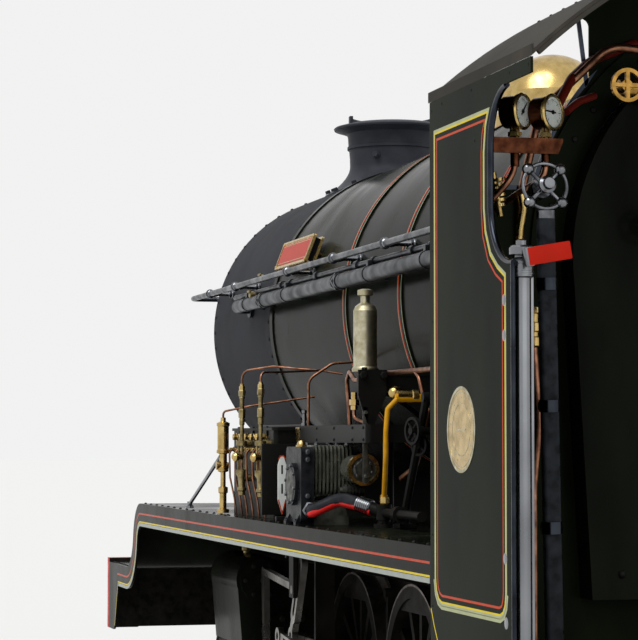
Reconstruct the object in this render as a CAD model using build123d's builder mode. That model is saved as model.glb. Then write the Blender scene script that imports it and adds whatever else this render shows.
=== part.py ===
"""A narrow-gauge steam locomotive with eight coupled wheels, as it stands parked.

Frame: +X is the locomotive's front, +Y its left side, +Z up. The origin is the middle of the
footprint, level with the bottom of the wheel flanges. All sizes are in millimetres.
"""
from build123d import *
import os
from math import atan2, cos, degrees, hypot, radians, sin, sqrt

os.makedirs("parts", exist_ok=True)

# Rail and wheels
flange_depth = 18.0            # flange bottoms stand this far below the rail top
wheel_back = 175.0             # from the centreline to a wheel's inner face
tyre_width = 55.0
tyre_thickness = 32.0
flange_thickness = 14.0
coupled_tread_r = 222.5
leading_tread_r = 140.0
trailing_tread_r = 150.0
running_gap = 0.06             # radial clearance of a shaft in its bearing
loose_gap = 0.4                # radial clearance where a pin only follows
seat_gap = 0.3                 # between curved pieces that lie on each other

# Along the locomotive, measured back from the front of the smokebox
smokebox_front_x = 1355.0
smokebox_length = 672.0
chimney_back = 438.0
leading_axle_back = 80.0
first_coupled_back = 900.0
coupled_spacing = 490.0
coupled_axles = 4
main_axle_index = 2
trailing_axle_back = 2950.0
firebox_back = 2050.0
cab_front_back = 2740.0

# Boiler
boiler_z = 1063.0
smokebox_r = 378.0
cladding_step = 2.0            # the boiler's cladding stands this far outside the smokebox
smokebox_plate = 10.0
band_width = 28.0
band_thickness = 3.0
band_backs = [686.0, 1381.0, 1806.0, 2330.0]
firebox_bottom_z = 520.0
backhead_into_cab = 58.0
backhead_ring_width = 54.0     # flat ring that closes the cab front onto the cladding
dome_back = 1655.0
dome_r = 112.0
dome_height = 138.0
dome_crown = 84.0

# Frames
frame_y = 150.0
frame_thickness = 12.0
frame_top_z = 450.0
frame_bottom_z = 185.0
rear_frame_bottom_z = 350.0
axle_r = 38.0

# Running plate and cab
deck_z = 606.0
deck_thickness = 6.0
deck_inner_y = 262.0
half_width = 600.0
valance_depth = 60.0
valance_thickness = 6.0
front_deck_z = 429.0
step_start_x = 1240.0
step_angle = 80.0
beam_front_x = 1765.0
beam_thickness = 30.0
beam_height = 184.0
beam_half_width = 560.0
cab_rear_x = -1875.0
cab_side_rear_x = -1781.0
cab_sheet = 4.0
cab_bottom_z = 363.0
cab_sill_z = 1027.0
cab_floor_z = 428.0
cab_floor_thickness = 8.0
roof_r = 880.0
roof_crown_z = 1554.0
roof_thickness = 5.0
roof_overhang = 8.0

# Cylinders and motion
stroke = 216.0
cylinder_y = 310.0
cylinder_r = 125.0
cylinder_front_x = 1055.0
cylinder_rear_x = 745.0
valve_y = 388.0
valve_z = 430.0
valve_r = 60.0
coupling_rod_y = 250.0
coupling_rod_thickness = 25.0
connecting_rod_y = 345.0
connecting_rod_thickness = 27.0
return_crank_y = 380.0
return_crank_thickness = 15.0
eccentric_rod_y = 412.0
eccentric_rod_thickness = 14.0
eccentric_throw = 55.0
crank_pin_r = 24.0
side_pin_r = 18.0
rod_length = 1090.0
slide_bar_end_x = 405.0
link_x = 345.0
link_z = 430.0
link_arm = 125.0

drawbar_pin_r = 13.0
pivot_pin_r = 15.0
leading_pivot_x = 905.0
trailing_pivot_x = -1265.0
leading_clear_z = 340.0        # the frames are cut away to here over the leading wheels
horn_width = 84.0
horn_low_z = 200.0
horn_high_z = 304.0
axlebox_height = 94.0
motion_plate_x = 393.0
motion_plate_thickness = 12.0
slide_bar_y = 295.0
slide_bar_width = 30.0
slide_gap = 46.0               # from the cylinder's centreline to a slide bar's face
slide_bar_depth = 18.0
drop_arm_z = 77.0
lever_x = 690.0
union_length = 110.0

boiler_r = smokebox_r + cladding_step
coupled_z = flange_depth + coupled_tread_r
leading_z = flange_depth + leading_tread_r
trailing_z = flange_depth + trailing_tread_r
coupled_x = [
    smokebox_front_x - first_coupled_back - i * coupled_spacing
    for i in range(coupled_axles)
]
main_x = coupled_x[main_axle_index]
leading_x = smokebox_front_x - leading_axle_back
trailing_x = smokebox_front_x - trailing_axle_back
cab_front_x = smokebox_front_x - cab_front_back
chimney_x = smokebox_front_x - chimney_back
dome_x = smokebox_front_x - dome_back
crank = stroke / 2
step_radius = (deck_z - front_deck_z) / (2 * (1 - cos(radians(step_angle))))
step_run = 2 * step_radius * sin(radians(step_angle))
beam_back_x = beam_front_x - beam_thickness
firebox_x = smokebox_front_x - firebox_back
backhead_x = cab_front_x - backhead_into_cab
barrel_front_x = smokebox_front_x - smokebox_length

# side, name, crank direction (x, z), return crank direction (x, z)
sides = [
    (1, "left", (0, -1), (1, 0)),
    (-1, "right", (-1, 0), (0, -1)),
]


def save(piece, name):
    """Label a finished piece and write it as one STEP file."""
    piece.part.label = name
    export_step(piece.part, f"parts/{name}.step")


def side_plane(x, y, z, side, x_dir=(1, 0, 0)):
    """A sketch plane whose normal points out of the given side of the locomotive."""
    return Plane(origin=(x, side * y, z), x_dir=x_dir, z_dir=(0, side, 0))


def cross_plane(x):
    """A sketch plane across the locomotive, its own x along +Y and its own y along +Z."""
    return Plane(origin=(x, 0, 0), x_dir=(0, 1, 0), z_dir=(1, 0, 0))


def length_plane(y):
    """A sketch plane along the locomotive, its own x along +X and its own y along +Z."""
    return Plane(origin=(0, y, 0), x_dir=(1, 0, 0), z_dir=(0, -1, 0))


def roof_z(y, drop=0.0):
    """Height of the roof's outer face at a distance from the centreline."""
    return roof_crown_z - roof_r + sqrt((roof_r - drop) ** 2 - y ** 2)


def meeting_point(centre_a, r_a, centre_b, r_b, side):
    """Where two circles in the x-z plane meet, on the given side of the line between them."""
    dx, dz = centre_b[0] - centre_a[0], centre_b[1] - centre_a[1]
    span = hypot(dx, dz)
    along = (r_a ** 2 - r_b ** 2 + span ** 2) / (2 * span)
    off = side * sqrt(r_a ** 2 - along ** 2)
    return (
        centre_a[0] + along * dx / span - off * dz / span,
        centre_a[1] + along * dz / span + off * dx / span,
    )


def wheel_rim(axle_x, axle_z, tread_r, side):
    """A steel tyre with its flange and the rim under it, turned about the axle."""
    section = Plane(
        origin=(axle_x, side * wheel_back, axle_z), x_dir=(0, side, 0), z_dir=(side, 0, 0)
    )
    flange_r = tread_r + flange_depth
    with BuildSketch(section) as profile:
        with BuildLine():
            Polyline(
                (0, tread_r - tyre_thickness),
                (0, flange_r - 5),
                (4, flange_r),
                (flange_thickness - 4, flange_r),
                (flange_thickness + 4, tread_r + 1),
                (tyre_width, tread_r - 1),
                (tyre_width, tread_r - tyre_thickness),
                close=True,
            )
        make_face()
    revolve(profile.sketch, axis=Axis((axle_x, 0, axle_z), (0, 1, 0)))


def coupled_wheel(axle_x, side, crank_dir, weight_angle):
    """One spoked wheel with its hub, crank boss and balance weight."""
    rim_r = coupled_tread_r - tyre_thickness + 1
    wheel_rim(axle_x, coupled_z, coupled_tread_r, side)
    plane = side_plane(axle_x, wheel_back + 14, coupled_z, side, (crank_dir[0], 0, crank_dir[1]))
    with BuildSketch(plane) as spokes:
        with PolarLocations(rim_r / 2 + 12, 13, start_angle=360 / 26):
            Rectangle(rim_r - 26, 17)
    extrude(spokes.sketch, amount=22)
    with BuildSketch(plane.offset(2)) as weight:
        with BuildLine():
            outer = CenterArc((0, 0), rim_r, 180 - weight_angle, 2 * weight_angle)
            Line(outer @ 1, outer @ 0)
        make_face()
    extrude(weight.sketch, amount=34)
    with BuildSketch(plane.offset(-16)) as hub:
        Circle(50)
    extrude(hub.sketch, amount=56)
    with BuildSketch(plane.offset(-4)) as boss:
        with Locations((crank / 2, 0)):
            SlotCenterToCenter(crank, 76)
    extrude(boss.sketch, amount=46)


def coupled_wheelset(name, index):
    """An axle with both wheels and crank pins; the main one also carries the return cranks."""
    axle_x = coupled_x[index]
    is_main = index == main_axle_index
    weight_angle = 52 if is_main else 34
    side_pin_end = coupling_rod_y + coupling_rod_thickness + 7
    with BuildPart() as wheelset:
        with BuildSketch(length_plane(wheel_back)):
            with Locations((axle_x, coupled_z)):
                Circle(axle_r)
        extrude(amount=2 * wheel_back)
        for side, _, crank_dir, return_dir in sides:
            coupled_wheel(axle_x, side, crank_dir, weight_angle)
            pin_x = axle_x + crank * crank_dir[0]
            pin_z = coupled_z + crank * crank_dir[1]
            if not is_main:
                with BuildSketch(side_plane(pin_x, wheel_back + 40, pin_z, side)):
                    Circle(side_pin_r)
                extrude(amount=side_pin_end - wheel_back - 40)
                with BuildSketch(side_plane(pin_x, side_pin_end - 5, pin_z, side)):
                    Circle(side_pin_r + 8)
                extrude(amount=5)
                continue
            with BuildSketch(side_plane(pin_x, wheel_back + 40, pin_z, side)):
                Circle(crank_pin_r)
            extrude(amount=return_crank_y - wheel_back - 40)
            return_x = axle_x + eccentric_throw * return_dir[0]
            return_z = coupled_z + eccentric_throw * return_dir[1]
            arm = Vector(return_x - pin_x, 0, return_z - pin_z)
            arm_dir = arm.normalized()
            with BuildSketch(side_plane(pin_x, return_crank_y, pin_z, side, arm_dir)):
                with Locations((arm.length / 2, 0)):
                    SlotCenterToCenter(arm.length, 52)
            extrude(amount=return_crank_thickness)
            pin_start = return_crank_y + return_crank_thickness
            pin_end = eccentric_rod_y + eccentric_rod_thickness + 3
            with BuildSketch(side_plane(return_x, pin_start, return_z, side)):
                Circle(12)
            extrude(amount=pin_end - pin_start)
    save(wheelset, name)


def small_wheelset(name, axle_x, axle_z, tread_r, journal_r):
    """A carrying axle with two disc wheels."""
    rim_r = tread_r - tyre_thickness + 1
    with BuildPart() as wheelset:
        with BuildSketch(length_plane(wheel_back)):
            with Locations((axle_x, axle_z)):
                Circle(journal_r)
        extrude(amount=2 * wheel_back)
        for side in (1, -1):
            wheel_rim(axle_x, axle_z, tread_r, side)
            plane = side_plane(axle_x, wheel_back + 18, axle_z, side)
            with BuildSketch(plane):
                Circle(rim_r)
                with PolarLocations(rim_r * 0.66, 6):
                    Circle(14, mode=Mode.SUBTRACT)
            extrude(amount=16)
            with BuildSketch(plane.offset(-18)):
                Circle(journal_r + 14)
            extrude(amount=52)
    save(wheelset, name)


def coupling_rod(name, side, crank_dir):
    """The rod that ties the four crank pins of one side together."""
    dx = crank * crank_dir[0]
    rod_z = coupled_z + crank * crank_dir[1]
    middle_x = (coupled_x[0] + coupled_x[-1]) / 2 + dx
    length = coupled_x[0] - coupled_x[-1]
    plane = side_plane(0, coupling_rod_y, rod_z, side, (1, 0, 0))
    with BuildPart() as rod:
        with BuildSketch(plane.offset(4)):
            with Locations((middle_x, 0)):
                Rectangle(length, 44)
        extrude(amount=coupling_rod_thickness - 8)
        with BuildSketch(plane):
            for x in coupled_x:
                with Locations((x + dx, 0)):
                    Circle(44 if x == main_x else 36)
        extrude(amount=coupling_rod_thickness)
        with BuildSketch(plane.offset(coupling_rod_thickness - 8)):
            for ahead, behind in zip(coupled_x, coupled_x[1:]):
                with Locations(((ahead + behind) / 2 + dx, 0)):
                    SlotOverall(coupled_spacing - 130, 24)
        extrude(amount=8, mode=Mode.SUBTRACT)
        with BuildSketch(plane):
            for x in coupled_x:
                with Locations((x + dx, 0)):
                    Circle(crank_pin_r + running_gap if x == main_x else side_pin_r + loose_gap)
        extrude(amount=coupling_rod_thickness, mode=Mode.SUBTRACT)
    save(rod, name)


def plain_rod(rod_ends, y, thickness, end_rs, depths, bores, flute, side, name):
    """A straight forged rod between two eyes, with a flute in its outer face."""
    (x0, z0), (x1, z1) = rod_ends
    length = hypot(x1 - x0, z1 - z0)
    plane = side_plane(x0, y, z0, side, ((x1 - x0) / length, 0, (z1 - z0) / length))
    with BuildPart() as rod:
        with BuildSketch(plane.offset(thickness * 0.15)):
            Polygon(
                (0, -depths[0] / 2),
                (length, -depths[1] / 2),
                (length, depths[1] / 2),
                (0, depths[0] / 2),
                align=None,
            )
        extrude(amount=thickness * 0.7)
        with BuildSketch(plane):
            Circle(end_rs[0])
            with Locations((length, 0)):
                Circle(end_rs[1])
        extrude(amount=thickness)
        with BuildSketch(plane.offset(thickness * 0.55)):
            with Locations((length / 2, 0)):
                SlotOverall(length - 2.4 * end_rs[0] - 2 * end_rs[1], flute)
        extrude(amount=thickness, mode=Mode.SUBTRACT)
        with BuildSketch(plane):
            Circle(bores[0])
            with Locations((length, 0)):
                Circle(bores[1])
        extrude(amount=thickness, mode=Mode.SUBTRACT)
    save(rod, name)


# The four coupled wheelsets
for axle_index in range(coupled_axles):
    coupled_wheelset(f"coupled_wheelset_{axle_index + 1}", axle_index)

small_wheelset("leading_wheelset", leading_x, leading_z, leading_tread_r, 26)
small_wheelset("trailing_wheelset", trailing_x, trailing_z, trailing_tread_r, 28)

# Where each side's motion stands with its crank at rest
crosshead_x = {}
link_foot = {}
main_pin = {}
return_pin = {}
for side, name, crank_dir, return_dir in sides:
    pin = (main_x + crank * crank_dir[0], coupled_z + crank * crank_dir[1])
    eccentric = (
        main_x + eccentric_throw * return_dir[0],
        coupled_z + eccentric_throw * return_dir[1],
    )
    main_pin[name] = pin
    return_pin[name] = eccentric
    crosshead_x[name] = pin[0] + sqrt(rod_length ** 2 - (pin[1] - coupled_z) ** 2)

upright_foot = (link_x, link_z - link_arm)
eccentric_length = hypot(
    upright_foot[0] - return_pin["right"][0], upright_foot[1] - return_pin["right"][1]
)
for side, name, crank_dir, return_dir in sides:
    link_foot[name] = meeting_point(
        return_pin[name], eccentric_length, (link_x, link_z), link_arm, -1
    )
    coupling_rod(f"coupling_rod_{name}", side, crank_dir)
    plain_rod(
        (main_pin[name], (crosshead_x[name], coupled_z)),
        connecting_rod_y, connecting_rod_thickness, (46, 32), (54, 38),
        (crank_pin_r + running_gap, 15), 20, side, f"connecting_rod_{name}",
    )
    plain_rod(
        (return_pin[name], link_foot[name]),
        eccentric_rod_y, eccentric_rod_thickness, (24, 20), (26, 22),
        (12 + running_gap, 9), 8, side, f"eccentric_rod_{name}",
    )

# Main frames: two plates with horns for the axleboxes, held apart by stretchers
rear_frame_end_x = cab_rear_x + 75
truck_bay_x = cylinder_front_x + 25
frame_outline = [
    (beam_back_x, front_deck_z - 8),
    (step_start_x + step_run, front_deck_z - 8),
    (step_start_x, frame_top_z),
    (trailing_pivot_x - 30, frame_top_z),
    (trailing_pivot_x - 60, cab_floor_z - cab_floor_thickness),
    (rear_frame_end_x, cab_floor_z - cab_floor_thickness),
    (rear_frame_end_x, rear_frame_bottom_z),
    (trailing_pivot_x - 130, rear_frame_bottom_z),
    (trailing_pivot_x - 40, frame_bottom_z),
    (truck_bay_x, frame_bottom_z),
    (truck_bay_x + 20, leading_clear_z),
    (leading_x + 225, leading_clear_z),
    (beam_back_x, 262),
]
stretcher_xs = [1180] + [x - coupled_spacing / 2 for x in coupled_x[:3]] + [-1215]
with BuildPart() as main_frames:
    with BuildSketch(length_plane(frame_y + frame_thickness / 2)):
        Polygon(*frame_outline, align=None)
        for x in coupled_x:
            with Locations((x, (horn_low_z + horn_high_z) / 2)):
                Rectangle(horn_width, horn_high_z - horn_low_z, mode=Mode.SUBTRACT)
    extrude(amount=frame_thickness)
    mirror(about=Plane.XZ)
    inner_width = 2 * frame_y - frame_thickness
    for x in stretcher_xs:
        low = 352 if x > 1100 else 215
        high = front_deck_z - 20 if x > 1100 else frame_top_z - 15
        with Locations((x, 0, (low + high) / 2)):
            Box(10, inner_width, high - low)
    for x in (leading_pivot_x, trailing_pivot_x):
        with Locations((x, 0, frame_bottom_z + 8)):
            Box(70, inner_width, 16)
        with Locations((x, 0, frame_bottom_z - 28)):
            Cylinder(pivot_pin_r, 56)
save(main_frames, "main_frames")

# Axleboxes slide in the horns and carry the coupled axles
with BuildPart() as axleboxes:
    for side in (1, -1):
        with BuildSketch(length_plane(side * (frame_y - 15))):
            for x in coupled_x:
                with Locations((x, horn_low_z + seat_gap + axlebox_height / 2)):
                    Rectangle(horn_width - 2 * seat_gap, axlebox_height)
                with Locations((x, coupled_z)):
                    Circle(axle_r + running_gap, mode=Mode.SUBTRACT)
        extrude(amount=-side * 32)
save(axleboxes, "axleboxes")

# Leaf springs over the frames, each on a strap from its axlebox
spring_length = 330.0
spring_leaf = 6.0
spring_leaves = 6
spring_width = 30.0
spring_seat_z = frame_top_z + 4
with BuildPart() as springs:
    for side in (1, -1):
        for x in coupled_x:
            plane = length_plane(side * (frame_y - spring_width / 2))
            for leaf in range(spring_leaves):
                leaf_z = spring_seat_z + (spring_leaves - 1 - leaf) * spring_leaf
                half = spring_length / 2 * (1 - 0.13 * leaf)
                rise = 10.0
                with BuildSketch(plane) as leaf_sketch:
                    with BuildLine():
                        low = ThreePointArc(
                            (x - half, leaf_z + rise * (half / spring_length * 2) ** 2),
                            (x, leaf_z),
                            (x + half, leaf_z + rise * (half / spring_length * 2) ** 2),
                        )
                        high = ThreePointArc(
                            low @ 1 + (0, spring_leaf),
                            (x, leaf_z + spring_leaf),
                            low @ 0 + (0, spring_leaf),
                        )
                        Line(low @ 1, high @ 0)
                        Line(high @ 1, low @ 0)
                    make_face()
                extrude(leaf_sketch.sketch, amount=-side * spring_width)
            stack = spring_leaves * spring_leaf
            with Locations((x, side * (frame_y + 1), spring_seat_z + stack / 2)):
                Box(36, spring_width + 8, stack + 6)
            strap_low_z = horn_low_z + seat_gap + axlebox_height
            strap_high_z = spring_seat_z + stack / 2
            strap_y = frame_y + frame_thickness / 2 + seat_gap + 4
            with Locations((x, side * strap_y, (strap_low_z + strap_high_z) / 2)):
                Box(22, 8, strap_high_z - strap_low_z)
save(springs, "springs")

# Brake hangers behind each coupled wheel, with their shoes and cross shafts
hanger_y = 199.0
hanger_width = 18.0
hanger_pin_z = 428.0
hanger_foot_z = coupled_z - 70
shoe_gap = 6.0
with BuildPart() as brake_gear:
    for side in (1, -1):
        for x in coupled_x:
            hang_x = x - coupled_spacing / 2
            with BuildSketch(length_plane(side * hanger_y)):
                with Locations((hang_x, (hanger_foot_z + hanger_pin_z) / 2)):
                    SlotCenterToCenter(hanger_pin_z - hanger_foot_z, 15, rotation=90)
            extrude(amount=-side * hanger_width)
            with BuildSketch(length_plane(side * hanger_y)):
                with Locations((x, coupled_z)):
                    Circle(coupled_tread_r + shoe_gap + 18)
                    Circle(coupled_tread_r + shoe_gap, mode=Mode.SUBTRACT)
                with Locations((hang_x + 4, coupled_z - 20)):
                    Rectangle(22, 96, mode=Mode.INTERSECT)
            extrude(amount=-side * (hanger_width + 8))
            pin_start = frame_y + frame_thickness / 2
            with BuildSketch(side_plane(hang_x, pin_start, hanger_pin_z, side)):
                Circle(11)
            extrude(amount=hanger_y + hanger_width + 6 - pin_start)
    for x in coupled_x[:3]:
        with BuildSketch(length_plane(hanger_y + 2)):
            with Locations((x - coupled_spacing / 2, hanger_foot_z)):
                Circle(8)
        extrude(amount=2 * hanger_y + 4)
save(brake_gear, "brake_gear")


def truck(name, axle_x, axle_z, pivot_x, journal_r, pole_z):
    """A two-wheeled truck: side plates over the axle and a pole back to its pivot pin."""
    toward = 1 if axle_x > pivot_x else -1
    cross_x = axle_x - toward * 90
    with BuildPart() as frame:
        for y in (88, -88):
            with BuildSketch(length_plane(y + 8)):
                with BuildLine():
                    Polyline(
                        (axle_x - 98, axle_z + 20),
                        (axle_x - 60, axle_z + 75),
                        (axle_x + 60, axle_z + 75),
                        (axle_x + 98, axle_z + 20),
                        (axle_x + 98, axle_z - 18),
                        (axle_x + 52, axle_z - 18),
                        (axle_x + 42, axle_z - 50),
                        (axle_x - 42, axle_z - 50),
                        (axle_x - 52, axle_z - 18),
                        (axle_x - 98, axle_z - 18),
                        close=True,
                    )
                make_face()
                with Locations((axle_x, axle_z)):
                    Circle(journal_r + running_gap, mode=Mode.SUBTRACT)
            extrude(amount=16)
        for x in (axle_x - 90, axle_x + 90):
            with Locations((x, 0, axle_z)):
                Box(14, 176, 32)
        with BuildSketch(Plane.XY.offset(pole_z)):
            Polygon(
                (pivot_x, -26),
                (cross_x, -78),
                (cross_x, 78),
                (pivot_x, 26),
                align=None,
            )
            with Locations((pivot_x, 0)):
                Circle(32)
                Circle(pivot_pin_r + running_gap, mode=Mode.SUBTRACT)
        extrude(amount=16)
    save(frame, name)


truck("leading_truck", leading_x, leading_z, leading_pivot_x, 26, 150)
truck("trailing_truck", trailing_x, trailing_z, trailing_pivot_x, 28, 156)

# Saddle between the cylinders, shaped to the smokebox
saddle_profile = [
    (-frame_y - 6, frame_top_z),
    (-frame_y - 6, frame_top_z + 90),
    (-230, 760),
    (230, 760),
    (frame_y + 6, frame_top_z + 90),
    (frame_y + 6, frame_top_z),
]
with BuildPart() as smokebox_saddle:
    with BuildSketch(cross_plane(cylinder_rear_x)):
        Polygon(*saddle_profile, align=None)
        with Locations((0, boiler_z)):
            Circle(smokebox_r + seat_gap, mode=Mode.SUBTRACT)
    extrude(amount=cylinder_front_x - cylinder_rear_x)
save(smokebox_saddle, "smokebox_saddle")


# The two outside cylinders, each with its piston-valve chest and covers
with BuildPart() as cylinders:
    for side, name, crank_dir, return_dir in sides:
        with BuildSketch(cross_plane(cylinder_rear_x)):
            with Locations((side * cylinder_y, coupled_z)):
                Circle(cylinder_r)
            with Locations((side * valve_y, valve_z)):
                Circle(valve_r)
            Polygon(
                (side * (frame_y + 6), 205),
                (side * (frame_y + 6), frame_top_z),
                (side * (valve_y - 60), frame_top_z + 20),
                (side * (valve_y - 20), valve_z + valve_r - 4),
                (side * (valve_y + valve_r - 2), valve_z),
                (side * (cylinder_y + cylinder_r - 2), coupled_z + 30),
                (side * cylinder_y, coupled_z - cylinder_r + 20),
                align=None,
            )
        extrude(amount=cylinder_front_x - cylinder_rear_x)
        for x, r, thickness in ((cylinder_front_x, 112, 14), (cylinder_rear_x - 14, 112, 14)):
            with BuildSketch(cross_plane(x)):
                with Locations((side * cylinder_y, coupled_z)):
                    Circle(r)
                with Locations((side * valve_y, valve_z)):
                    Circle(valve_r - 8)
            extrude(amount=thickness)
        with BuildSketch(cross_plane(cylinder_front_x + 14)):
            with Locations((side * cylinder_y, coupled_z)):
                Circle(46)
        extrude(amount=16)
        with BuildSketch(cross_plane(cylinder_rear_x - 30)):
            with Locations((side * cylinder_y, coupled_z)):
                Circle(34)
            with Locations((side * valve_y, valve_z)):
                Circle(20)
        extrude(amount=18)
save(cylinders, "cylinders")

# Each crosshead between its slide bars, with the piston rod and the drop arm
with BuildPart() as crossheads:
    for side, name, crank_dir, return_dir in sides:
        x = crosshead_x[name]
        rod_end_x = cylinder_rear_x - 30
        half = slide_gap - seat_gap
        arm_y = slide_bar_y + slide_bar_width
        with BuildSketch(length_plane(side * slide_bar_y)):
            with Locations((x, coupled_z)):
                Rectangle(100, 2 * half)
                Rectangle(56, 2 * half - 34, mode=Mode.SUBTRACT)
                Circle(26)
                Rectangle(18, 2 * half - 20)
        extrude(amount=-side * slide_bar_width)
        with BuildSketch(length_plane(side * arm_y)):
            with Locations((x, (drop_arm_z + coupled_z + 30) / 2)):
                Rectangle(44, coupled_z + 30 - drop_arm_z + 14)
        extrude(amount=-side * 12)
        with BuildSketch(length_plane(side * arm_y)):
            with Locations((x, drop_arm_z)):
                Rectangle(40, 14)
        extrude(amount=-side * (return_crank_y + return_crank_thickness - arm_y))
        with BuildSketch(cross_plane(x + 50)):
            with Locations((side * cylinder_y, coupled_z)):
                Circle(17)
        extrude(amount=rod_end_x - x - 50)
save(crossheads, "crossheads")

# The bars that guide the crossheads
bar_length = cylinder_rear_x - 14 - slide_bar_end_x
with BuildPart() as slide_bars:
    for side, name, crank_dir, return_dir in sides:
        with BuildSketch(length_plane(side * slide_bar_y)):
            for off in (slide_gap + slide_bar_depth / 2, -slide_gap - slide_bar_depth / 2):
                with Locations((slide_bar_end_x + bar_length / 2, coupled_z + off)):
                    Rectangle(bar_length, slide_bar_depth)
        extrude(amount=-side * slide_bar_width)
save(slide_bars, "slide_bars")

# Valve gear: expansion link, radius rod, combination lever and union link of each side
with BuildPart() as valve_gears:
    for side, name, crank_dir, return_dir in sides:
        foot = link_foot[name]
        head_x = crosshead_x[name]
        foot_angle = degrees(atan2(foot[0] - link_x, link_z - foot[1]))
        lever_top = (lever_x, valve_z + 24)
        lever_foot = (head_x + union_length, drop_arm_z)
        lever_dx = lever_foot[0] - lever_top[0]
        lever_dz = lever_foot[1] - lever_top[1]
        lever_length = hypot(lever_dx, lever_dz)
        lever_angle = degrees(atan2(lever_dz, lever_dx))
        plate = length_plane(side * return_crank_y)
        with BuildSketch(plate):
            with Locations(Location((link_x, link_z), foot_angle)):
                SlotOverall(180, 40, rotation=90)
                with Locations((0, -link_arm / 2)):
                    Rectangle(22, link_arm)
                with Locations((0, -link_arm)):
                    Circle(20)
                SlotOverall(140, 14, rotation=90, mode=Mode.SUBTRACT)
                with Locations((0, -link_arm)):
                    Circle(9, mode=Mode.SUBTRACT)
            with Locations(
                Location(
                    ((lever_top[0] + lever_foot[0]) / 2, (lever_top[1] + lever_foot[1]) / 2),
                    lever_angle,
                )
            ):
                SlotCenterToCenter(lever_length, 24)
            with Locations(((head_x + 20 + lever_foot[0]) / 2, drop_arm_z)):
                Rectangle(lever_foot[0] - head_x - 20, 14)
            Polygon(
                (link_x, link_z - 8),
                (lever_top[0], lever_top[1] - 8),
                (lever_top[0], lever_top[1] + 8),
                (link_x, link_z + 8),
                align=None,
            )
            with Locations((link_x, link_z)):
                Circle(10)
        extrude(amount=-side * return_crank_thickness)
        with BuildSketch(length_plane(side * return_crank_y)):
            with Locations((link_x, link_z)):
                Circle(10)
        extrude(amount=-side * (return_crank_thickness + 12))
        with BuildSketch(cross_plane(lever_x - 4)):
            with Locations((side * valve_y, valve_z)):
                Circle(7)
        extrude(amount=cylinder_rear_x - 30 - lever_x + 4)
save(valve_gears, "valve_gears")

# The motion plate carries the slide bars, the expansion links, the boiler and the deck
plate_half_width = eccentric_rod_y - 5
plate_low_z = 500
plate_high_z = deck_z - deck_thickness
with BuildPart() as motion_plate:
    with BuildSketch(cross_plane(motion_plate_x)):
        with Locations((0, (plate_low_z + plate_high_z) / 2)):
            Rectangle(2 * plate_half_width, plate_high_z - plate_low_z)
        with Locations((0, (frame_top_z + boiler_z - boiler_r + 60) / 2)):
            Rectangle(2 * (frame_y + 6), boiler_z - boiler_r + 60 - frame_top_z)
        with Locations((0, boiler_z)):
            Circle(boiler_r + seat_gap, mode=Mode.SUBTRACT)
        for side in (1, -1):
            with Locations((side * (slide_bar_y + slide_bar_width / 2 + 4), 340)):
                Rectangle(46, 340)
            with Locations((side * frame_y, spring_seat_z + spring_leaves * spring_leaf / 2 + 6)):
                Rectangle(
                    spring_width + 14, spring_leaves * spring_leaf + 32, mode=Mode.SUBTRACT
                )
    extrude(amount=motion_plate_thickness)
    for side in (1, -1):
        with BuildSketch(length_plane(side * (plate_half_width - 10))):
            Polygon(
                (link_x - 20, link_z - 18),
                (link_x + 20, link_z - 18),
                (link_x + 20, 520),
                (motion_plate_x, 520),
                (motion_plate_x, plate_high_z),
                (link_x - 20, plate_high_z),
                align=None,
            )
            with Locations((link_x, link_z)):
                Circle(10 + loose_gap, mode=Mode.SUBTRACT)
        extrude(amount=-side * 10)
save(motion_plate, "motion_plate")

# Deck brackets on the frames carry the running plate, and the firebox rests on two of them
bracket_xs = [1130, -280, -770, -1230]
bracket_thickness = 10.0
bracket_tip_depth = 24.0
bracket_knee = (400.0, 500.0)
firebox_clear_y = boiler_r + 12
deck_edge_y = half_width - valance_thickness
with BuildPart() as deck_brackets:
    for x in bracket_xs:
        top = [(0, plate_high_z)]
        if x < firebox_x:
            top = [
                (firebox_clear_y, plate_high_z),
                (firebox_clear_y, firebox_bottom_z),
                (0, firebox_bottom_z),
            ]
        half_outline = [
            (0, frame_top_z),
            (frame_y + 6, frame_top_z),
            bracket_knee,
            (deck_edge_y, plate_high_z - bracket_tip_depth),
            (deck_edge_y, plate_high_z),
        ] + top
        with BuildSketch(cross_plane(x)):
            Polygon(*half_outline, align=None)
            mirror(about=Plane.YZ)
        extrude(amount=bracket_thickness)
save(deck_brackets, "deck_brackets")


def deck_strip(thickness, depth, y, width):
    """One ribbon of plate that follows the ogee, hung below the deck's top by depth."""
    with BuildSketch(length_plane(y)) as ribbon:
        with BuildLine():
            upper_r = step_radius - depth
            lower_r = step_radius + depth
            first = Line((step_start_x, deck_z - depth), (step_start_x + 0.5, deck_z - depth))
            down = JernArc(first @ 1, (1, 0), upper_r, -step_angle)
            up = JernArc(down @ 1, down % 1, lower_r, step_angle)
            last = Line(up @ 1, (beam_back_x, front_deck_z - depth))
            under = depth + thickness
            low_first = Line((step_start_x, deck_z - under), (step_start_x + 0.5, deck_z - under))
            low_down = JernArc(low_first @ 1, (1, 0), step_radius - under, -step_angle)
            low_up = JernArc(low_down @ 1, low_down % 1, step_radius + under, step_angle)
            low_last = Line(low_up @ 1, (beam_back_x, front_deck_z - under))
            Line(first @ 0, low_first @ 0)
            Line(last @ 1, low_last @ 1)
        make_face()
    extrude(ribbon.sketch, amount=width)


# Front platform with its curved step and the deep edge plates each side
with BuildPart() as front_platform:
    deck_strip(deck_thickness, 0, half_width, 2 * half_width)
    for y in (half_width, -half_width + valance_thickness):
        deck_strip(valance_depth - deck_thickness + 1, deck_thickness - 1, y, valance_thickness)
save(front_platform, "front_platform")


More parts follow.
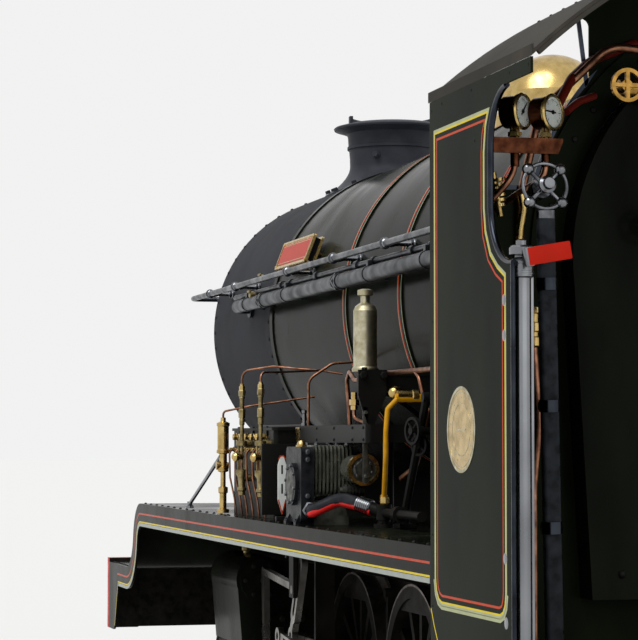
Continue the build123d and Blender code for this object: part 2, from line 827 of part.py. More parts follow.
# The deck plates beside the boiler, each with its edge plate
with BuildPart() as running_plates:
    for side, name, crank_dir, return_dir in sides:
        edge = side * half_width
        with BuildSketch(Plane.XY.offset(deck_z - deck_thickness)):
            Polygon(
                (step_start_x, edge),
                (cab_front_x, edge),
                (cab_front_x, side * (boiler_r + 6)),
                (firebox_x + 6, side * (boiler_r + 6)),
                (firebox_x + 6, side * deck_inner_y),
                (step_start_x, side * deck_inner_y),
                align=None,
            )
        extrude(amount=deck_thickness)
        with BuildSketch(Plane.XY.offset(deck_z - valance_depth)):
            with Locations(((step_start_x + cab_front_x) / 2, edge - side * valance_thickness / 2)):
                Rectangle(step_start_x - cab_front_x, valance_thickness)
        extrude(amount=valance_depth - deck_thickness / 2)
save(running_plates, "running_plates")

# Buffer beam across the front
with BuildPart() as buffer_beam:
    with Locations((beam_front_x - beam_thickness / 2, 0, front_deck_z - beam_height / 2)):
        Box(beam_thickness, 2 * beam_half_width, beam_height)
    fillet(buffer_beam.edges().filter_by(Axis.X).group_by(Axis.Z)[0], 40)
save(buffer_beam, "buffer_beam")

# Front coupler: a pocket between two ears with an upright pin hole
coupler_z = 330.0
coupler_pin_x = 1840.0
coupler_pin_r = 11.0
with BuildPart() as front_coupler:
    with BuildSketch(Plane.XY.offset(coupler_z - 34)):
        with BuildLine():
            Polyline(
                (beam_front_x, 62),
                (1850, 48),
                (1875, 20),
                (1875, -20),
                (1850, -48),
                (beam_front_x, -62),
                close=True,
            )
        make_face()
    extrude(amount=68)
    with Locations((1835, 0, coupler_z)):
        Box(90, 140, 26, mode=Mode.SUBTRACT)
    with Locations((coupler_pin_x, 0, coupler_z)):
        Cylinder(coupler_pin_r, 80, mode=Mode.SUBTRACT)
save(front_coupler, "front_coupler")

# Drag beam under the cab floor, with the two ears for the drawbar pin
drawbar_pin_x = -1850.0
with BuildPart() as drag_beam:
    with Locations((-1812, 0, cab_floor_z - cab_floor_thickness - 45)):
        Box(24, 2 * (half_width - cab_sheet), 90)
    for z in (360, 392):
        with BuildSketch(Plane.XY.offset(z)):
            Polygon((-1824, 60), (-1875, 30), (-1875, -30), (-1824, -60), align=None)
            with Locations((drawbar_pin_x, 0)):
                Circle(drawbar_pin_r, mode=Mode.SUBTRACT)
        extrude(amount=12)
save(drag_beam, "drag_beam")

# Smokebox: a shell with a front ring for the door and a hole for the chimney
door_opening_r = 262.0
chimney_bore_r = 84.0
with BuildPart() as smokebox:
    with BuildSketch(cross_plane(barrel_front_x + seat_gap)):
        with Locations((0, boiler_z)):
            Circle(smokebox_r)
            Circle(smokebox_r - smokebox_plate, mode=Mode.SUBTRACT)
    extrude(amount=smokebox_length - seat_gap)
    with BuildSketch(cross_plane(smokebox_front_x - smokebox_plate)):
        with Locations((0, boiler_z)):
            Circle(smokebox_r - 1)
            Circle(door_opening_r, mode=Mode.SUBTRACT)
    extrude(amount=smokebox_plate)
    with Locations((chimney_x, 0, boiler_z + smokebox_r)):
        Cylinder(chimney_bore_r, 60, mode=Mode.SUBTRACT)
save(smokebox, "smokebox")

# Smokebox door: dished, hung on a pin at its right-hand edge
door_r = 280.0
door_hinge_y = -302.0
door_hinge_x = smokebox_front_x + 16
door_hinge_r = 8.0
with BuildPart() as smokebox_door:
    with BuildSketch(Plane(origin=(0, 0, boiler_z), x_dir=(1, 0, 0), z_dir=(0, -1, 0))):
        with BuildLine():
            Polyline(
                (smokebox_front_x + 52, 0),
                (smokebox_front_x + seat_gap, 0),
                (smokebox_front_x + seat_gap, door_r),
                (smokebox_front_x + 14, door_r),
            )
            ThreePointArc(
                (smokebox_front_x + 14, door_r),
                (smokebox_front_x + 42, door_r / 2),
                (smokebox_front_x + 52, 0),
            )
        make_face()
    revolve(axis=Axis((0, 0, boiler_z), (1, 0, 0)))
    for z in (-110, 110):
        with BuildSketch(Plane.XY.offset(boiler_z + z - 14)):
            with BuildLine():
                Polyline(
                    (smokebox_front_x + 8, door_hinge_y + 12),
                    (smokebox_front_x + 30, door_hinge_y + 12),
                    (smokebox_front_x + 54, -130),
                    (smokebox_front_x + 56, 60),
                    (smokebox_front_x + 40, 60),
                    (smokebox_front_x + 8, -200),
                    close=True,
                )
            make_face()
            with Locations((door_hinge_x, door_hinge_y)):
                Circle(14)
        extrude(amount=28)
    with Locations((door_hinge_x, door_hinge_y, boiler_z)):
        Cylinder(door_hinge_r + running_gap, 300, mode=Mode.SUBTRACT)
    with BuildSketch(cross_plane(smokebox_front_x + 50)):
        with Locations((0, boiler_z)):
            Circle(20)
    extrude(amount=26)
    for angle, x in ((90, smokebox_front_x + 60), (0, smokebox_front_x + 68)):
        with BuildSketch(cross_plane(x)):
            with Locations((0, boiler_z)):
                SlotOverall(150, 12, rotation=angle)
        extrude(amount=7)
save(smokebox_door, "smokebox_door")

# Door hinge: the pin and its two lugs on the smokebox front
with BuildPart() as door_hinge:
    for z in (-145, 0, 145):
        with BuildSketch(Plane.XY.offset(boiler_z + z - 12)):
            with Locations((door_hinge_x, door_hinge_y)):
                Circle(13)
            with Locations(((smokebox_front_x + door_hinge_x) / 2, door_hinge_y - 4)):
                Rectangle(door_hinge_x - smokebox_front_x, 18)
        extrude(amount=24)
    with Locations((door_hinge_x, door_hinge_y, boiler_z)):
        Cylinder(door_hinge_r, 314)
save(door_hinge, "door_hinge")

# Chimney: saddle flange, tapered barrel, rolled rim and the raised lip at its front
chimney_r = 111.0
chimney_rim_r = 150.0
chimney_height = 139.0         # from the smokebox top to the rim
chimney_lip = 29.0
chimney_cap = 54.0
smokebox_top_z = boiler_z + smokebox_r
chimney_rim_z = smokebox_top_z + chimney_height
chimney_lip_z = chimney_rim_z + chimney_lip
chimney_seam_z = chimney_rim_z - chimney_cap
chimney_waist_z = smokebox_top_z + 45
chimney_foot_z = smokebox_top_z - 9
chimney_root_z = smokebox_top_z - 91
with BuildPart() as chimney:
    with BuildSketch(Plane(origin=(chimney_x, 0, 0), x_dir=(1, 0, 0), z_dir=(0, -1, 0))):
        with BuildLine():
            Polyline(
                (chimney_bore_r, chimney_root_z),
                (chimney_bore_r, chimney_rim_z),
                (chimney_rim_r - 6, chimney_rim_z),
                (chimney_rim_r, chimney_rim_z - 5),
                (chimney_rim_r, chimney_rim_z - 16),
            )
            ThreePointArc(
                (chimney_rim_r, chimney_rim_z - 16),
                (chimney_r + 12, chimney_seam_z + 22),
                (chimney_r + 6, chimney_seam_z + 4),
            )
            Polyline(
                (chimney_r + 6, chimney_seam_z + 4),
                (chimney_r + 6, chimney_seam_z - 4),
                (chimney_r, chimney_seam_z - 4),
                (chimney_r - 3, chimney_waist_z),
            )
            ThreePointArc(
                (chimney_r - 3, chimney_waist_z),
                (chimney_r + 12, smokebox_top_z + 15),
                (chimney_r + 42, chimney_foot_z),
            )
            Polyline(
                (chimney_r + 42, chimney_foot_z),
                (chimney_r + 42, chimney_root_z),
                (chimney_bore_r, chimney_root_z),
            )
        make_face()
    revolve(axis=Axis((chimney_x, 0, 0), (0, 0, 1)))
    with Locations((chimney_x, 0, chimney_foot_z - 12)):
        Cylinder(chimney_r + 62, 150)
    with BuildSketch(cross_plane(chimney_x - 200)) as over_saddle:
        with Locations((0, boiler_z + 800)):
            Rectangle(1600, 1600)
        with Locations((0, boiler_z)):
            Circle(smokebox_r + 12, mode=Mode.SUBTRACT)
    saddle_top = extrude(over_saddle.sketch, amount=400, mode=Mode.PRIVATE)
    with BuildSketch(Plane.XY.offset(chimney_foot_z - 52)) as ring_sketch:
        with Locations((chimney_x, 0)):
            Circle(chimney_r + 64)
            Circle(chimney_r + 42, mode=Mode.SUBTRACT)
    ring = extrude(ring_sketch.sketch, amount=130, mode=Mode.PRIVATE)
    add(ring & saddle_top, mode=Mode.SUBTRACT)
    with Locations((chimney_x, 0, chimney_foot_z - 32)):
        Cylinder(chimney_bore_r, 200, mode=Mode.SUBTRACT)
    with Locations((chimney_x, 0, boiler_z)):
        Cylinder(smokebox_r + seat_gap, 500, rotation=(0, 90, 0), mode=Mode.SUBTRACT)
    with BuildSketch(Plane.XY.offset(chimney_rim_z)) as lip_ring:
        with Locations((chimney_x, 0)):
            Circle(chimney_bore_r + 34)
            Circle(chimney_bore_r + 22, mode=Mode.SUBTRACT)
        with Locations((chimney_x - 150 - 10, 0)):
            Rectangle(300, 400, mode=Mode.SUBTRACT)
    extrude(lip_ring.sketch, amount=chimney_lip_z - chimney_rim_z)
save(chimney, "chimney")

# Boiler: the clad barrel runs back through the cab front to the backhead
with BuildPart() as boiler:
    with BuildSketch(cross_plane(backhead_x)):
        with Locations((0, boiler_z)):
            Circle(boiler_r)
    extrude(amount=barrel_front_x - backhead_x)
    with BuildSketch(cross_plane(backhead_x)):
        Polygon(
            (-boiler_r, boiler_z),
            (-boiler_r + 30, firebox_bottom_z),
            (boiler_r - 30, firebox_bottom_z),
            (boiler_r, boiler_z),
            align=None,
        )
    extrude(amount=firebox_x - backhead_x)
save(boiler, "boiler")

# Cladding bands round the boiler
with BuildPart() as boiler_bands:
    for back in band_backs:
        if smokebox_front_x - back < firebox_x:
            continue
        with BuildSketch(cross_plane(smokebox_front_x - back - band_width)):
            with Locations((0, boiler_z)):
                Circle(boiler_r + seat_gap + band_thickness)
                Circle(boiler_r + seat_gap, mode=Mode.SUBTRACT)
        extrude(amount=band_width)
save(boiler_bands, "boiler_bands")

# Polished dome on the barrel, and the safety valves over the firebox
dome_base_z = boiler_z + boiler_r
dome_top_z = dome_base_z + dome_height
dome_sphere_r = (dome_r ** 2 + dome_crown ** 2) / (2 * dome_crown)
dome_angle = atan2(dome_r, dome_sphere_r - dome_crown)
with BuildPart() as dome:
    with BuildSketch(Plane(origin=(dome_x, 0, 0), x_dir=(1, 0, 0), z_dir=(0, -1, 0))):
        with BuildLine():
            Polyline(
                (0, dome_base_z + dome_height),
                (0, dome_base_z - 60),
                (dome_r + 14, dome_base_z - 60),
                (dome_r + 14, dome_base_z + 4),
                (dome_r, dome_base_z + 22),
                (dome_r, dome_top_z - dome_crown),
            )
            ThreePointArc(
                (dome_r, dome_top_z - dome_crown),
                (
                    dome_sphere_r * sin(dome_angle / 2),
                    dome_top_z - dome_sphere_r * (1 - cos(dome_angle / 2)),
                ),
                (0, dome_top_z),
            )
        make_face()
    revolve(axis=Axis((dome_x, 0, 0), (0, 0, 1)))
    with BuildSketch(cross_plane(dome_x - 300)):
        with Locations((0, boiler_z)):
            Circle(boiler_r + seat_gap)
    extrude(amount=600, mode=Mode.SUBTRACT)
save(dome, "dome")

safety_valve_x = -1120.0
safety_valve_r = 24.0
with BuildPart() as safety_valves:
    with Locations((safety_valve_x, 0, dome_base_z - 6)):
        Box(90, 170, 40)
    for y in (-45, 45):
        with Locations((safety_valve_x, y, dome_base_z + 50)):
            Cylinder(safety_valve_r, 76)
        with Locations((safety_valve_x, y, dome_base_z + 92)):
            Cylinder(safety_valve_r - 8, 14)
    with Locations((safety_valve_x, 0, boiler_z)):
        Cylinder(boiler_r + seat_gap, 500, rotation=(0, 90, 0), mode=Mode.SUBTRACT)
save(safety_valves, "safety_valves")

# Cab: front sheet with a window each side of the boiler
window_inner_y = 330.0
window_outer_y = 510.0
window_low_z = 1175.0
window_top_margin = 18.0       # from the roof's underside to the glass opening
window_ring_margin = 8.0       # from the closing ring to the glass opening
cab_inside_y = half_width - cab_sheet
backhead_ring_r = boiler_r + backhead_ring_width
firebox_half_foot = boiler_r - 30
with BuildPart() as cab_front:
    with BuildSketch(cross_plane(cab_front_x - cab_sheet)):
        with Locations((0, (cab_floor_z + roof_crown_z) / 2)):
            Rectangle(2 * cab_inside_y, roof_crown_z - cab_floor_z)
        with Locations((0, roof_crown_z - roof_r)):
            Circle(roof_r - roof_thickness, mode=Mode.INTERSECT)
        with Locations((0, boiler_z)):
            Circle(boiler_r + seat_gap, mode=Mode.SUBTRACT)
        Polygon(
            (-boiler_r - seat_gap, boiler_z),
            (-firebox_half_foot - seat_gap, firebox_bottom_z - seat_gap),
            (firebox_half_foot + seat_gap, firebox_bottom_z - seat_gap),
            (boiler_r + seat_gap, boiler_z),
            align=None,
            mode=Mode.SUBTRACT,
        )
    extrude(amount=cab_sheet)
    for side in (1, -1):
        with BuildSketch(cross_plane(cab_front_x - cab_sheet)) as window:
            with Locations(
                (side * (window_inner_y + window_outer_y) / 2, (window_low_z + roof_crown_z) / 2)
            ):
                Rectangle(window_outer_y - window_inner_y, roof_crown_z - window_low_z)
            with Locations((0, roof_crown_z - roof_r)):
                Circle(roof_r - roof_thickness - window_top_margin, mode=Mode.INTERSECT)
            with Locations((0, boiler_z)):
                Circle(backhead_ring_r + window_ring_margin, mode=Mode.SUBTRACT)
            fillet(window.vertices(), 14)
        extrude(window.sketch, amount=cab_sheet, mode=Mode.SUBTRACT)
    with BuildSketch(cross_plane(cab_front_x - cab_sheet - 6)) as ring:
        with Locations((0, boiler_z)):
            Circle(backhead_ring_r)
            Circle(boiler_r + seat_gap, mode=Mode.SUBTRACT)
        with Locations((0, boiler_z - backhead_ring_r)):
            Rectangle(3 * backhead_ring_r, 2 * backhead_ring_r, mode=Mode.SUBTRACT)
    extrude(ring.sketch, amount=6)
save(cab_front, "cab_front")

cab_tab_x = -1870.0
cut_front_x = -1677.0
cut_drop = 22.7                # from the eave down to the top of the cut-out
eave_z = roof_z(half_width) - roof_thickness - 2
cut_top_z = eave_z - cut_drop


def cab_side(name, side):
    """A cab side sheet, open at its upper rear with a rounded front edge."""
    with BuildPart() as sheet:
        with BuildSketch(length_plane(side * (half_width - cab_sheet))):
            with BuildLine():
                Polyline(
                    (cab_side_rear_x, cab_sill_z),
                    (cab_side_rear_x, cab_bottom_z),
                    (cab_front_x, cab_bottom_z),
                    (cab_front_x, eave_z),
                    (cab_tab_x, eave_z),
                    (cab_tab_x, cut_top_z),
                    (cut_front_x - 75, cut_top_z),
                )
                ThreePointArc(
                    (cut_front_x - 75, cut_top_z),
                    (cut_front_x - 22, cut_top_z - 26),
                    (cut_front_x, cut_top_z - 90),
                )
                Line((cut_front_x, cut_top_z - 90), (cut_front_x, cab_sill_z + 90))
                ThreePointArc(
                    (cut_front_x, cab_sill_z + 90),
                    (cut_front_x - 32, cab_sill_z + 26),
                    (cab_side_rear_x, cab_sill_z),
                )
            make_face()
        extrude(amount=-side * cab_sheet)
    save(sheet, name)


# Polished grab pillars against the inside of the cab sides' rear edges
pillar_back = 3118.0
pillar_r = 14.0
pillar_low_z = 478.0
pillar_high_z = 1034.0
pillar_x = smokebox_front_x - pillar_back
pillar_y = cab_inside_y - seat_gap - pillar_r - 4
with BuildPart() as cab_pillars:
    for side in (1, -1):
        axis_plane = Plane(
            origin=(pillar_x, side * pillar_y, 0), x_dir=(1, 0, 0), z_dir=(0, -1, 0)
        )
        with BuildSketch(axis_plane) as turning:
            with BuildLine():
                Polyline(
                    (0, pillar_low_z - 30),
                    (pillar_r + 4, pillar_low_z - 30),
                    (pillar_r + 4, pillar_low_z - 22),
                    (pillar_r - 2, pillar_low_z - 14),
                    (pillar_r - 2, pillar_low_z),
                    (pillar_r, pillar_low_z + 4),
                    (pillar_r, pillar_high_z - 24),
                    (pillar_r + 4, pillar_high_z - 20),
                    (pillar_r + 4, pillar_high_z - 4),
                    (pillar_r, pillar_high_z),
                    (pillar_r - 4, pillar_high_z + 2),
                    (pillar_r - 6, pillar_high_z + 16),
                    (0, pillar_high_z + 18),
                    close=True,
                )
            make_face()
        revolve(turning.sketch, axis=Axis((pillar_x, side * pillar_y, 0), (0, 0, 1)))
        for z in (pillar_low_z + 60, (pillar_low_z + pillar_high_z) / 2, pillar_high_z - 60):
            with BuildSketch(side_plane(pillar_x, pillar_y, z, side)):
                Circle(7)
            extrude(amount=cab_inside_y - pillar_y)
save(cab_pillars, "cab_pillars")

for side, name, crank_dir, return_dir in sides:
    cab_side(f"cab_side_{name}", side)

with BuildPart() as cab_roof:
    roof_front_x = cab_front_x + roof_overhang
    with BuildSketch(cross_plane(cab_rear_x)):
        with Locations((0, roof_crown_z - roof_r)):
            Circle(roof_r)
            Circle(roof_r - roof_thickness, mode=Mode.SUBTRACT)
        with Locations((0, roof_crown_z)):
            Rectangle(2 * half_width, 2 * roof_r, mode=Mode.INTERSECT)
    extrude(amount=roof_front_x - cab_rear_x)
    for side in (1, -1):
        with Locations(
            ((cab_rear_x + roof_front_x) / 2, side * (half_width - 1.5), roof_z(half_width) + 4)
        ):
            Box(roof_front_x - cab_rear_x, 3, 12)
save(cab_roof, "cab_roof")

with BuildPart() as cab_floor:
    floor_front_x = cab_front_x - cab_sheet
    with Locations(
        ((floor_front_x + rear_frame_end_x) / 2, 0, cab_floor_z - cab_floor_thickness / 2)
    ):
        Box(floor_front_x - rear_frame_end_x, 2 * cab_inside_y, cab_floor_thickness)
save(cab_floor, "cab_floor")

# Handrails on ball stanchions along both sides, turned in at the smokebox front
rail_y = smokebox_r + 52
rail_z = boiler_z + 95.0
rail_r = 7.0
rail_front_x = smokebox_front_x + 42
stanchion_backs = [200.0, 510.0, 1066.0, 1481.0, 1882.0, 2360.0]
with BuildPart() as handrails:
    for side in (1, -1):
        with BuildLine():
            FilletPolyline(
                (cab_front_x, side * rail_y, rail_z),
                (rail_front_x, side * rail_y, rail_z),
                (rail_front_x, side * (smokebox_r - 33), rail_z),
                (smokebox_front_x, side * (smokebox_r - 33), rail_z),
                radius=20,
            )
        with BuildSketch(Plane(origin=(cab_front_x, side * rail_y, rail_z), z_dir=(1, 0, 0))):
            Circle(rail_r)
        sweep()
        surface_y = sqrt((boiler_r + seat_gap) ** 2 - (rail_z - boiler_z) ** 2)
        for back in stanchion_backs:
            x = smokebox_front_x - back
            with Locations((x, side * rail_y, rail_z)):
                Sphere(rail_r + 5)
            with BuildSketch(side_plane(x, surface_y + 3, rail_z, side)):
                Circle(5)
            extrude(amount=rail_y - surface_y - 3)
            with BuildSketch(side_plane(x, surface_y + 3, rail_z, side)):
                Circle(9)
            extrude(amount=7)
save(handrails, "handrails")

# Exhaust pipe from the cab to the smokebox, with the thinner steam pipe above it
exhaust_pipe_r = 16.0
exhaust_pipe_y = smokebox_r + 42
exhaust_pipe_z = boiler_z + 45.0
exhaust_pipe_front_x = 885.0
steam_pipe_r = 6.0
steam_pipe_z = boiler_z + 72.0
steam_pipe_y = smokebox_r + 30
with BuildPart() as side_pipes:
    with BuildLine():
        FilletPolyline(
            (cab_front_x, exhaust_pipe_y, exhaust_pipe_z),
            (exhaust_pipe_front_x, exhaust_pipe_y, exhaust_pipe_z),
            (exhaust_pipe_front_x, smokebox_r, exhaust_pipe_z),
            radius=30,
        )
    with BuildSketch(
        Plane(origin=(cab_front_x, exhaust_pipe_y, exhaust_pipe_z), z_dir=(1, 0, 0))
    ):
        Circle(exhaust_pipe_r)
    sweep()
    with BuildSketch(side_plane(exhaust_pipe_front_x, smokebox_r, exhaust_pipe_z, 1)):
        Circle(exhaust_pipe_r + 10)
    extrude(amount=8)
    with BuildLine():
        FilletPolyline(
            (cab_front_x, steam_pipe_y, steam_pipe_z),
            (exhaust_pipe_front_x + 70, steam_pipe_y, steam_pipe_z),
            (exhaust_pipe_front_x + 70, smokebox_r - 5, steam_pipe_z),
            radius=15,
        )
    with BuildSketch(Plane(origin=(cab_front_x, steam_pipe_y, steam_pipe_z), z_dir=(1, 0, 0))):
        Circle(steam_pipe_r)
    sweep()
    for back in (926, 1260, 1600, 2003):
        with Locations((smokebox_front_x - back, steam_pipe_y, steam_pipe_z)):
            Cylinder(10, 22, rotation=(0, 90, 0))
save(side_pipes, "side_pipes")

# Nameplate on the left: a face plate and a back plate either side of a narrower core
nameplate_length = 296.0
nameplate_height = 70.0
nameplate_angle = 21.0
nameplate_back = 958.0
nameplate_face = 5.0
nameplate_depth = 24.0
nameplate_stand = 10.0
nameplate_dir = Vector(0, cos(radians(nameplate_angle)), sin(radians(nameplate_angle)))
nameplate_r = boiler_r + nameplate_stand
nameplate_plane = Plane(
    origin=(
        smokebox_front_x - nameplate_back,
        nameplate_r * nameplate_dir.Y,
        boiler_z + nameplate_r * nameplate_dir.Z,
    ),
    x_dir=(-1, 0, 0),
    z_dir=nameplate_dir,
)
with BuildPart() as nameplate:
    for off in (0, nameplate_depth - nameplate_face):
        with BuildSketch(nameplate_plane.offset(off)):
            RectangleRounded(nameplate_length, nameplate_height, 4)
        extrude(amount=nameplate_face)
    with BuildSketch(nameplate_plane.offset(nameplate_face)):
        Rectangle(nameplate_length - 14, nameplate_height - 14)
    extrude(amount=nameplate_depth - 2 * nameplate_face)
    with BuildSketch(nameplate_plane.offset(0.6 - nameplate_stand)):
        with Locations((-nameplate_length / 3, 0), (nameplate_length / 3, 0)):
            Circle(6)
    extrude(amount=nameplate_stand)
save(nameplate, "nameplate")

# Brass lubricator on its bracket beside the firebox
lubricator_back = 1917.0
lubricator_x = smokebox_front_x - lubricator_back
lubricator_y = boiler_r + 100
lubricator_r = 23.0
lubricator_shelf_z = 905.0
shelf_thickness = 8.0
shelf_length = 64.0
lubricator_turning = [
    (0, 0), (26, 0), (26, 6), (lubricator_r, 10), (lubricator_r, 118), (19, 127), (12, 132),
    (9, 134), (9, 146), (15, 148), (15, 158), (8, 160), (0, 160),
]
with BuildPart() as lubricator:
    with BuildSketch(
        Plane(
            origin=(lubricator_x, lubricator_y, lubricator_shelf_z),
            x_dir=(1, 0, 0),
            z_dir=(0, -1, 0),
        )
    ) as turning:
        Polygon(*lubricator_turning, align=None)
    revolve(turning.sketch, axis=Axis((lubricator_x, lubricator_y, 0), (0, 0, 1)))
save(lubricator, "lubricator")

shelf_out_y = lubricator_y + 15
shelf_low_z = lubricator_shelf_z - shelf_thickness
with BuildPart() as lubricator_bracket:
    with BuildSketch(Plane.XY.offset(shelf_low_z)):
        with Locations((lubricator_x, (shelf_out_y + boiler_r - 60) / 2)):
            RectangleRounded(shelf_length, shelf_out_y - boiler_r + 60, 6)
    extrude(amount=shelf_thickness)
    for x in (lubricator_x - shelf_length / 2 + 2, lubricator_x + shelf_length / 2 - 10):
        with BuildSketch(cross_plane(x)):
            with BuildLine():
                Polyline(
                    (shelf_out_y - 6, shelf_low_z),
                    (shelf_out_y - 6, shelf_low_z - 16),
                )
                ThreePointArc(
                    (shelf_out_y - 6, shelf_low_z - 16),
                    (boiler_r + 10, shelf_low_z - 62),
                    (boiler_r - 60, shelf_low_z - 136),
                )
                Polyline(
                    (boiler_r - 60, shelf_low_z - 136),
                    (boiler_r - 100, shelf_low_z - 136),
                    (boiler_r - 100, shelf_low_z),
                    (shelf_out_y - 6, shelf_low_z),
                )
            make_face()
        extrude(amount=8)
    with Locations((lubricator_x, 0, boiler_z)):
        Cylinder(boiler_r + seat_gap, 2 * shelf_length, rotation=(0, 90, 0), mode=Mode.SUBTRACT)
save(lubricator_bracket, "lubricator_bracket")

# Oil box with its lid, on the deck ahead of the compressor
oil_box_front_x = 360.0
oil_box_rear_x = -50.0
oil_box_inner_y = 470.0
oil_box_outer_y = 540.0
oil_box_top_z = 800.0
oil_box_middle = (
    (oil_box_front_x + oil_box_rear_x) / 2, (oil_box_inner_y + oil_box_outer_y) / 2
)
with BuildPart() as oil_box:
    with BuildSketch(Plane.XY.offset(deck_z)):
        with Locations(oil_box_middle):
            RectangleRounded(
                oil_box_front_x - oil_box_rear_x, oil_box_outer_y - oil_box_inner_y, 10
            )
    extrude(amount=oil_box_top_z - 6 - deck_z)
    with BuildSketch(Plane.XY.offset(oil_box_top_z - 6)):
        with Locations(oil_box_middle):
            RectangleRounded(
                oil_box_front_x - oil_box_rear_x + 10, oil_box_outer_y - oil_box_inner_y + 8, 12
            )
    extrude(amount=6)
save(oil_box, "oil_box")

# Two brass pump columns on the oil box, each turned, with two arms to the box
pump_backs = [1186.0, 1372.0]
pump_y = oil_box_outer_y + 22
pump_turning = [
    (0, 652), (7, 652), (7, 660), (11, 662), (11, 676), (9, 678), (9, 700), (13, 702), (13, 712),
    (8, 716), (6, 760), (13, 762), (13, 770), (5, 774), (5, 808), (9, 812), (9, 830), (6, 834),
    (6, 862), (10, 864), (10, 880), (5, 884), (0, 884),
]
with BuildPart() as oil_pumps:
    for back in pump_backs:
        x = smokebox_front_x - back
        pump_plane = Plane(origin=(x, pump_y, 0), x_dir=(1, 0, 0), z_dir=(0, -1, 0))
        with BuildSketch(pump_plane) as turning:
            Polygon(*pump_turning, align=None)
        revolve(turning.sketch, axis=Axis((x, pump_y, 0), (0, 0, 1)))
        for z in (690, 766):
            with BuildSketch(side_plane(x, oil_box_outer_y, z, 1)):
                Circle(8)
            extrude(amount=pump_y - oil_box_outer_y - 4)
save(oil_pumps, "oil_pumps")

# Shallow tank on two legs above the compressor
tank_front_x = -75.0
tank_rear_x = -642.0
tank_inner_y = 400.0
tank_outer_y = 500.0
tank_low_z = 768.0
tank_high_z = 803.0
tank_middle = ((tank_front_x + tank_rear_x) / 2, (tank_inner_y + tank_outer_y) / 2)
with BuildPart() as deck_tank:
    with BuildSketch(Plane.XY.offset(tank_low_z)):
        with Locations(tank_middle):
            RectangleRounded(tank_front_x - tank_rear_x, tank_outer_y - tank_inner_y, 10)
    extrude(amount=tank_high_z - tank_low_z)
    for x in (tank_front_x - 60, tank_rear_x + 130):
        with BuildSketch(Plane.XY.offset(deck_z)):
            with Locations((x, tank_inner_y + 20)):
                Circle(11)
        extrude(amount=tank_low_z - deck_z)
        with BuildSketch(Plane.XY.offset(deck_z)):
            with Locations((x, tank_inner_y + 20)):
                RectangleRounded(46, 34, 8)
        extrude(amount=6)
save(deck_tank, "deck_tank")

# Air compressor on the deck: crankcase outside, finned cylinders, and a drive cover at the rear
compressor_rear_x = -470.0
compressor_length = 124.0
crankcase_y = 559.0
crankcase_width = 26.0
crankcase_low_z = deck_z + 6
crankcase_high_z = 760.0
fin_inner_y = 481.0
fin_pitch = 7.8
fin_thickness = 3.4
fin_count = 10
fin_low_z = 664.0
fin_high_z = 763.0
compressor_x = compressor_rear_x + compressor_length / 2
fin_z = (fin_low_z + fin_high_z) / 2
drive_y = fin_inner_y - 4
drive_z = 716.0
drive_r = 27.5
with BuildPart() as compressor:
    with BuildSketch(length_plane(crankcase_y)):
        with Locations((compressor_x, (crankcase_low_z + crankcase_high_z) / 2)):
            RectangleRounded(compressor_length, crankcase_high_z - crankcase_low_z, 12)
    extrude(amount=-crankcase_width)
    with BuildSketch(length_plane(crankcase_y + crankcase_width)):
        with Locations((compressor_x, (crankcase_low_z + crankcase_high_z) / 2)):
            Circle(42)
    extrude(amount=-7)
    for fin in range(fin_count):
        with BuildSketch(length_plane(fin_inner_y + fin * fin_pitch)):
            with Locations((compressor_x, fin_z)):
                RectangleRounded(compressor_length - 12, fin_high_z - fin_low_z, 14)
        extrude(amount=-fin_thickness)
    with BuildSketch(length_plane(fin_inner_y - 8)):
        with Locations((compressor_x, fin_z)):
            RectangleRounded(compressor_length - 34, fin_high_z - fin_low_z - 22, 20)
    extrude(amount=-(crankcase_y - fin_inner_y + 8))
    with BuildSketch(cross_plane(compressor_rear_x - 62)):
        with Locations((drive_y, drive_z)):
            Circle(drive_r)
    extrude(amount=90)
    with BuildSketch(cross_plane(compressor_rear_x - 68)):
        with Locations((drive_y, drive_z)):
            Circle(drive_r + 3)
            Circle(drive_r - 3, mode=Mode.SUBTRACT)
    extrude(amount=12)
    for x in (compressor_x - 40, compressor_x + 40):
        with BuildSketch(cross_plane(x - 9)):
            Polygon(
                (fin_inner_y + 4, deck_z),
                (crankcase_y + 34, deck_z),
                (crankcase_y + 34, deck_z + 7),
                (crankcase_y + 18, deck_z + 36),
                (fin_inner_y + 18, fin_low_z + 8),
                (fin_inner_y + 4, deck_z + 7),
                align=None,
            )
        extrude(amount=18)
save(compressor, "compressor")

# Thick air hose from the compressor to a cast elbow that goes down through the deck
hose_r = 13.0
elbow_r = 12.0
elbow_at = Vector(-606, 455, deck_z + 28)
elbow_stub = 28.0
hose_last_bend = Vector(-560, 496, 652)
elbow_dir = (hose_last_bend - elbow_at).normalized()
hose_path = [
    Vector(compressor_rear_x - seat_gap, 566, 636),
    Vector(compressor_rear_x - 24, 566, 636),
    Vector(-520, 520, 660),
    hose_last_bend,
    elbow_at + elbow_dir * (elbow_stub + seat_gap),
]
with BuildPart() as air_hose:
    with BuildLine():
        FilletPolyline(*hose_path, radius=(26, 50, 100))
    with BuildSketch(Plane(origin=hose_path[0], z_dir=(-1, 0, 0))):
        Circle(hose_r)
    sweep()
save(air_hose, "air_hose")

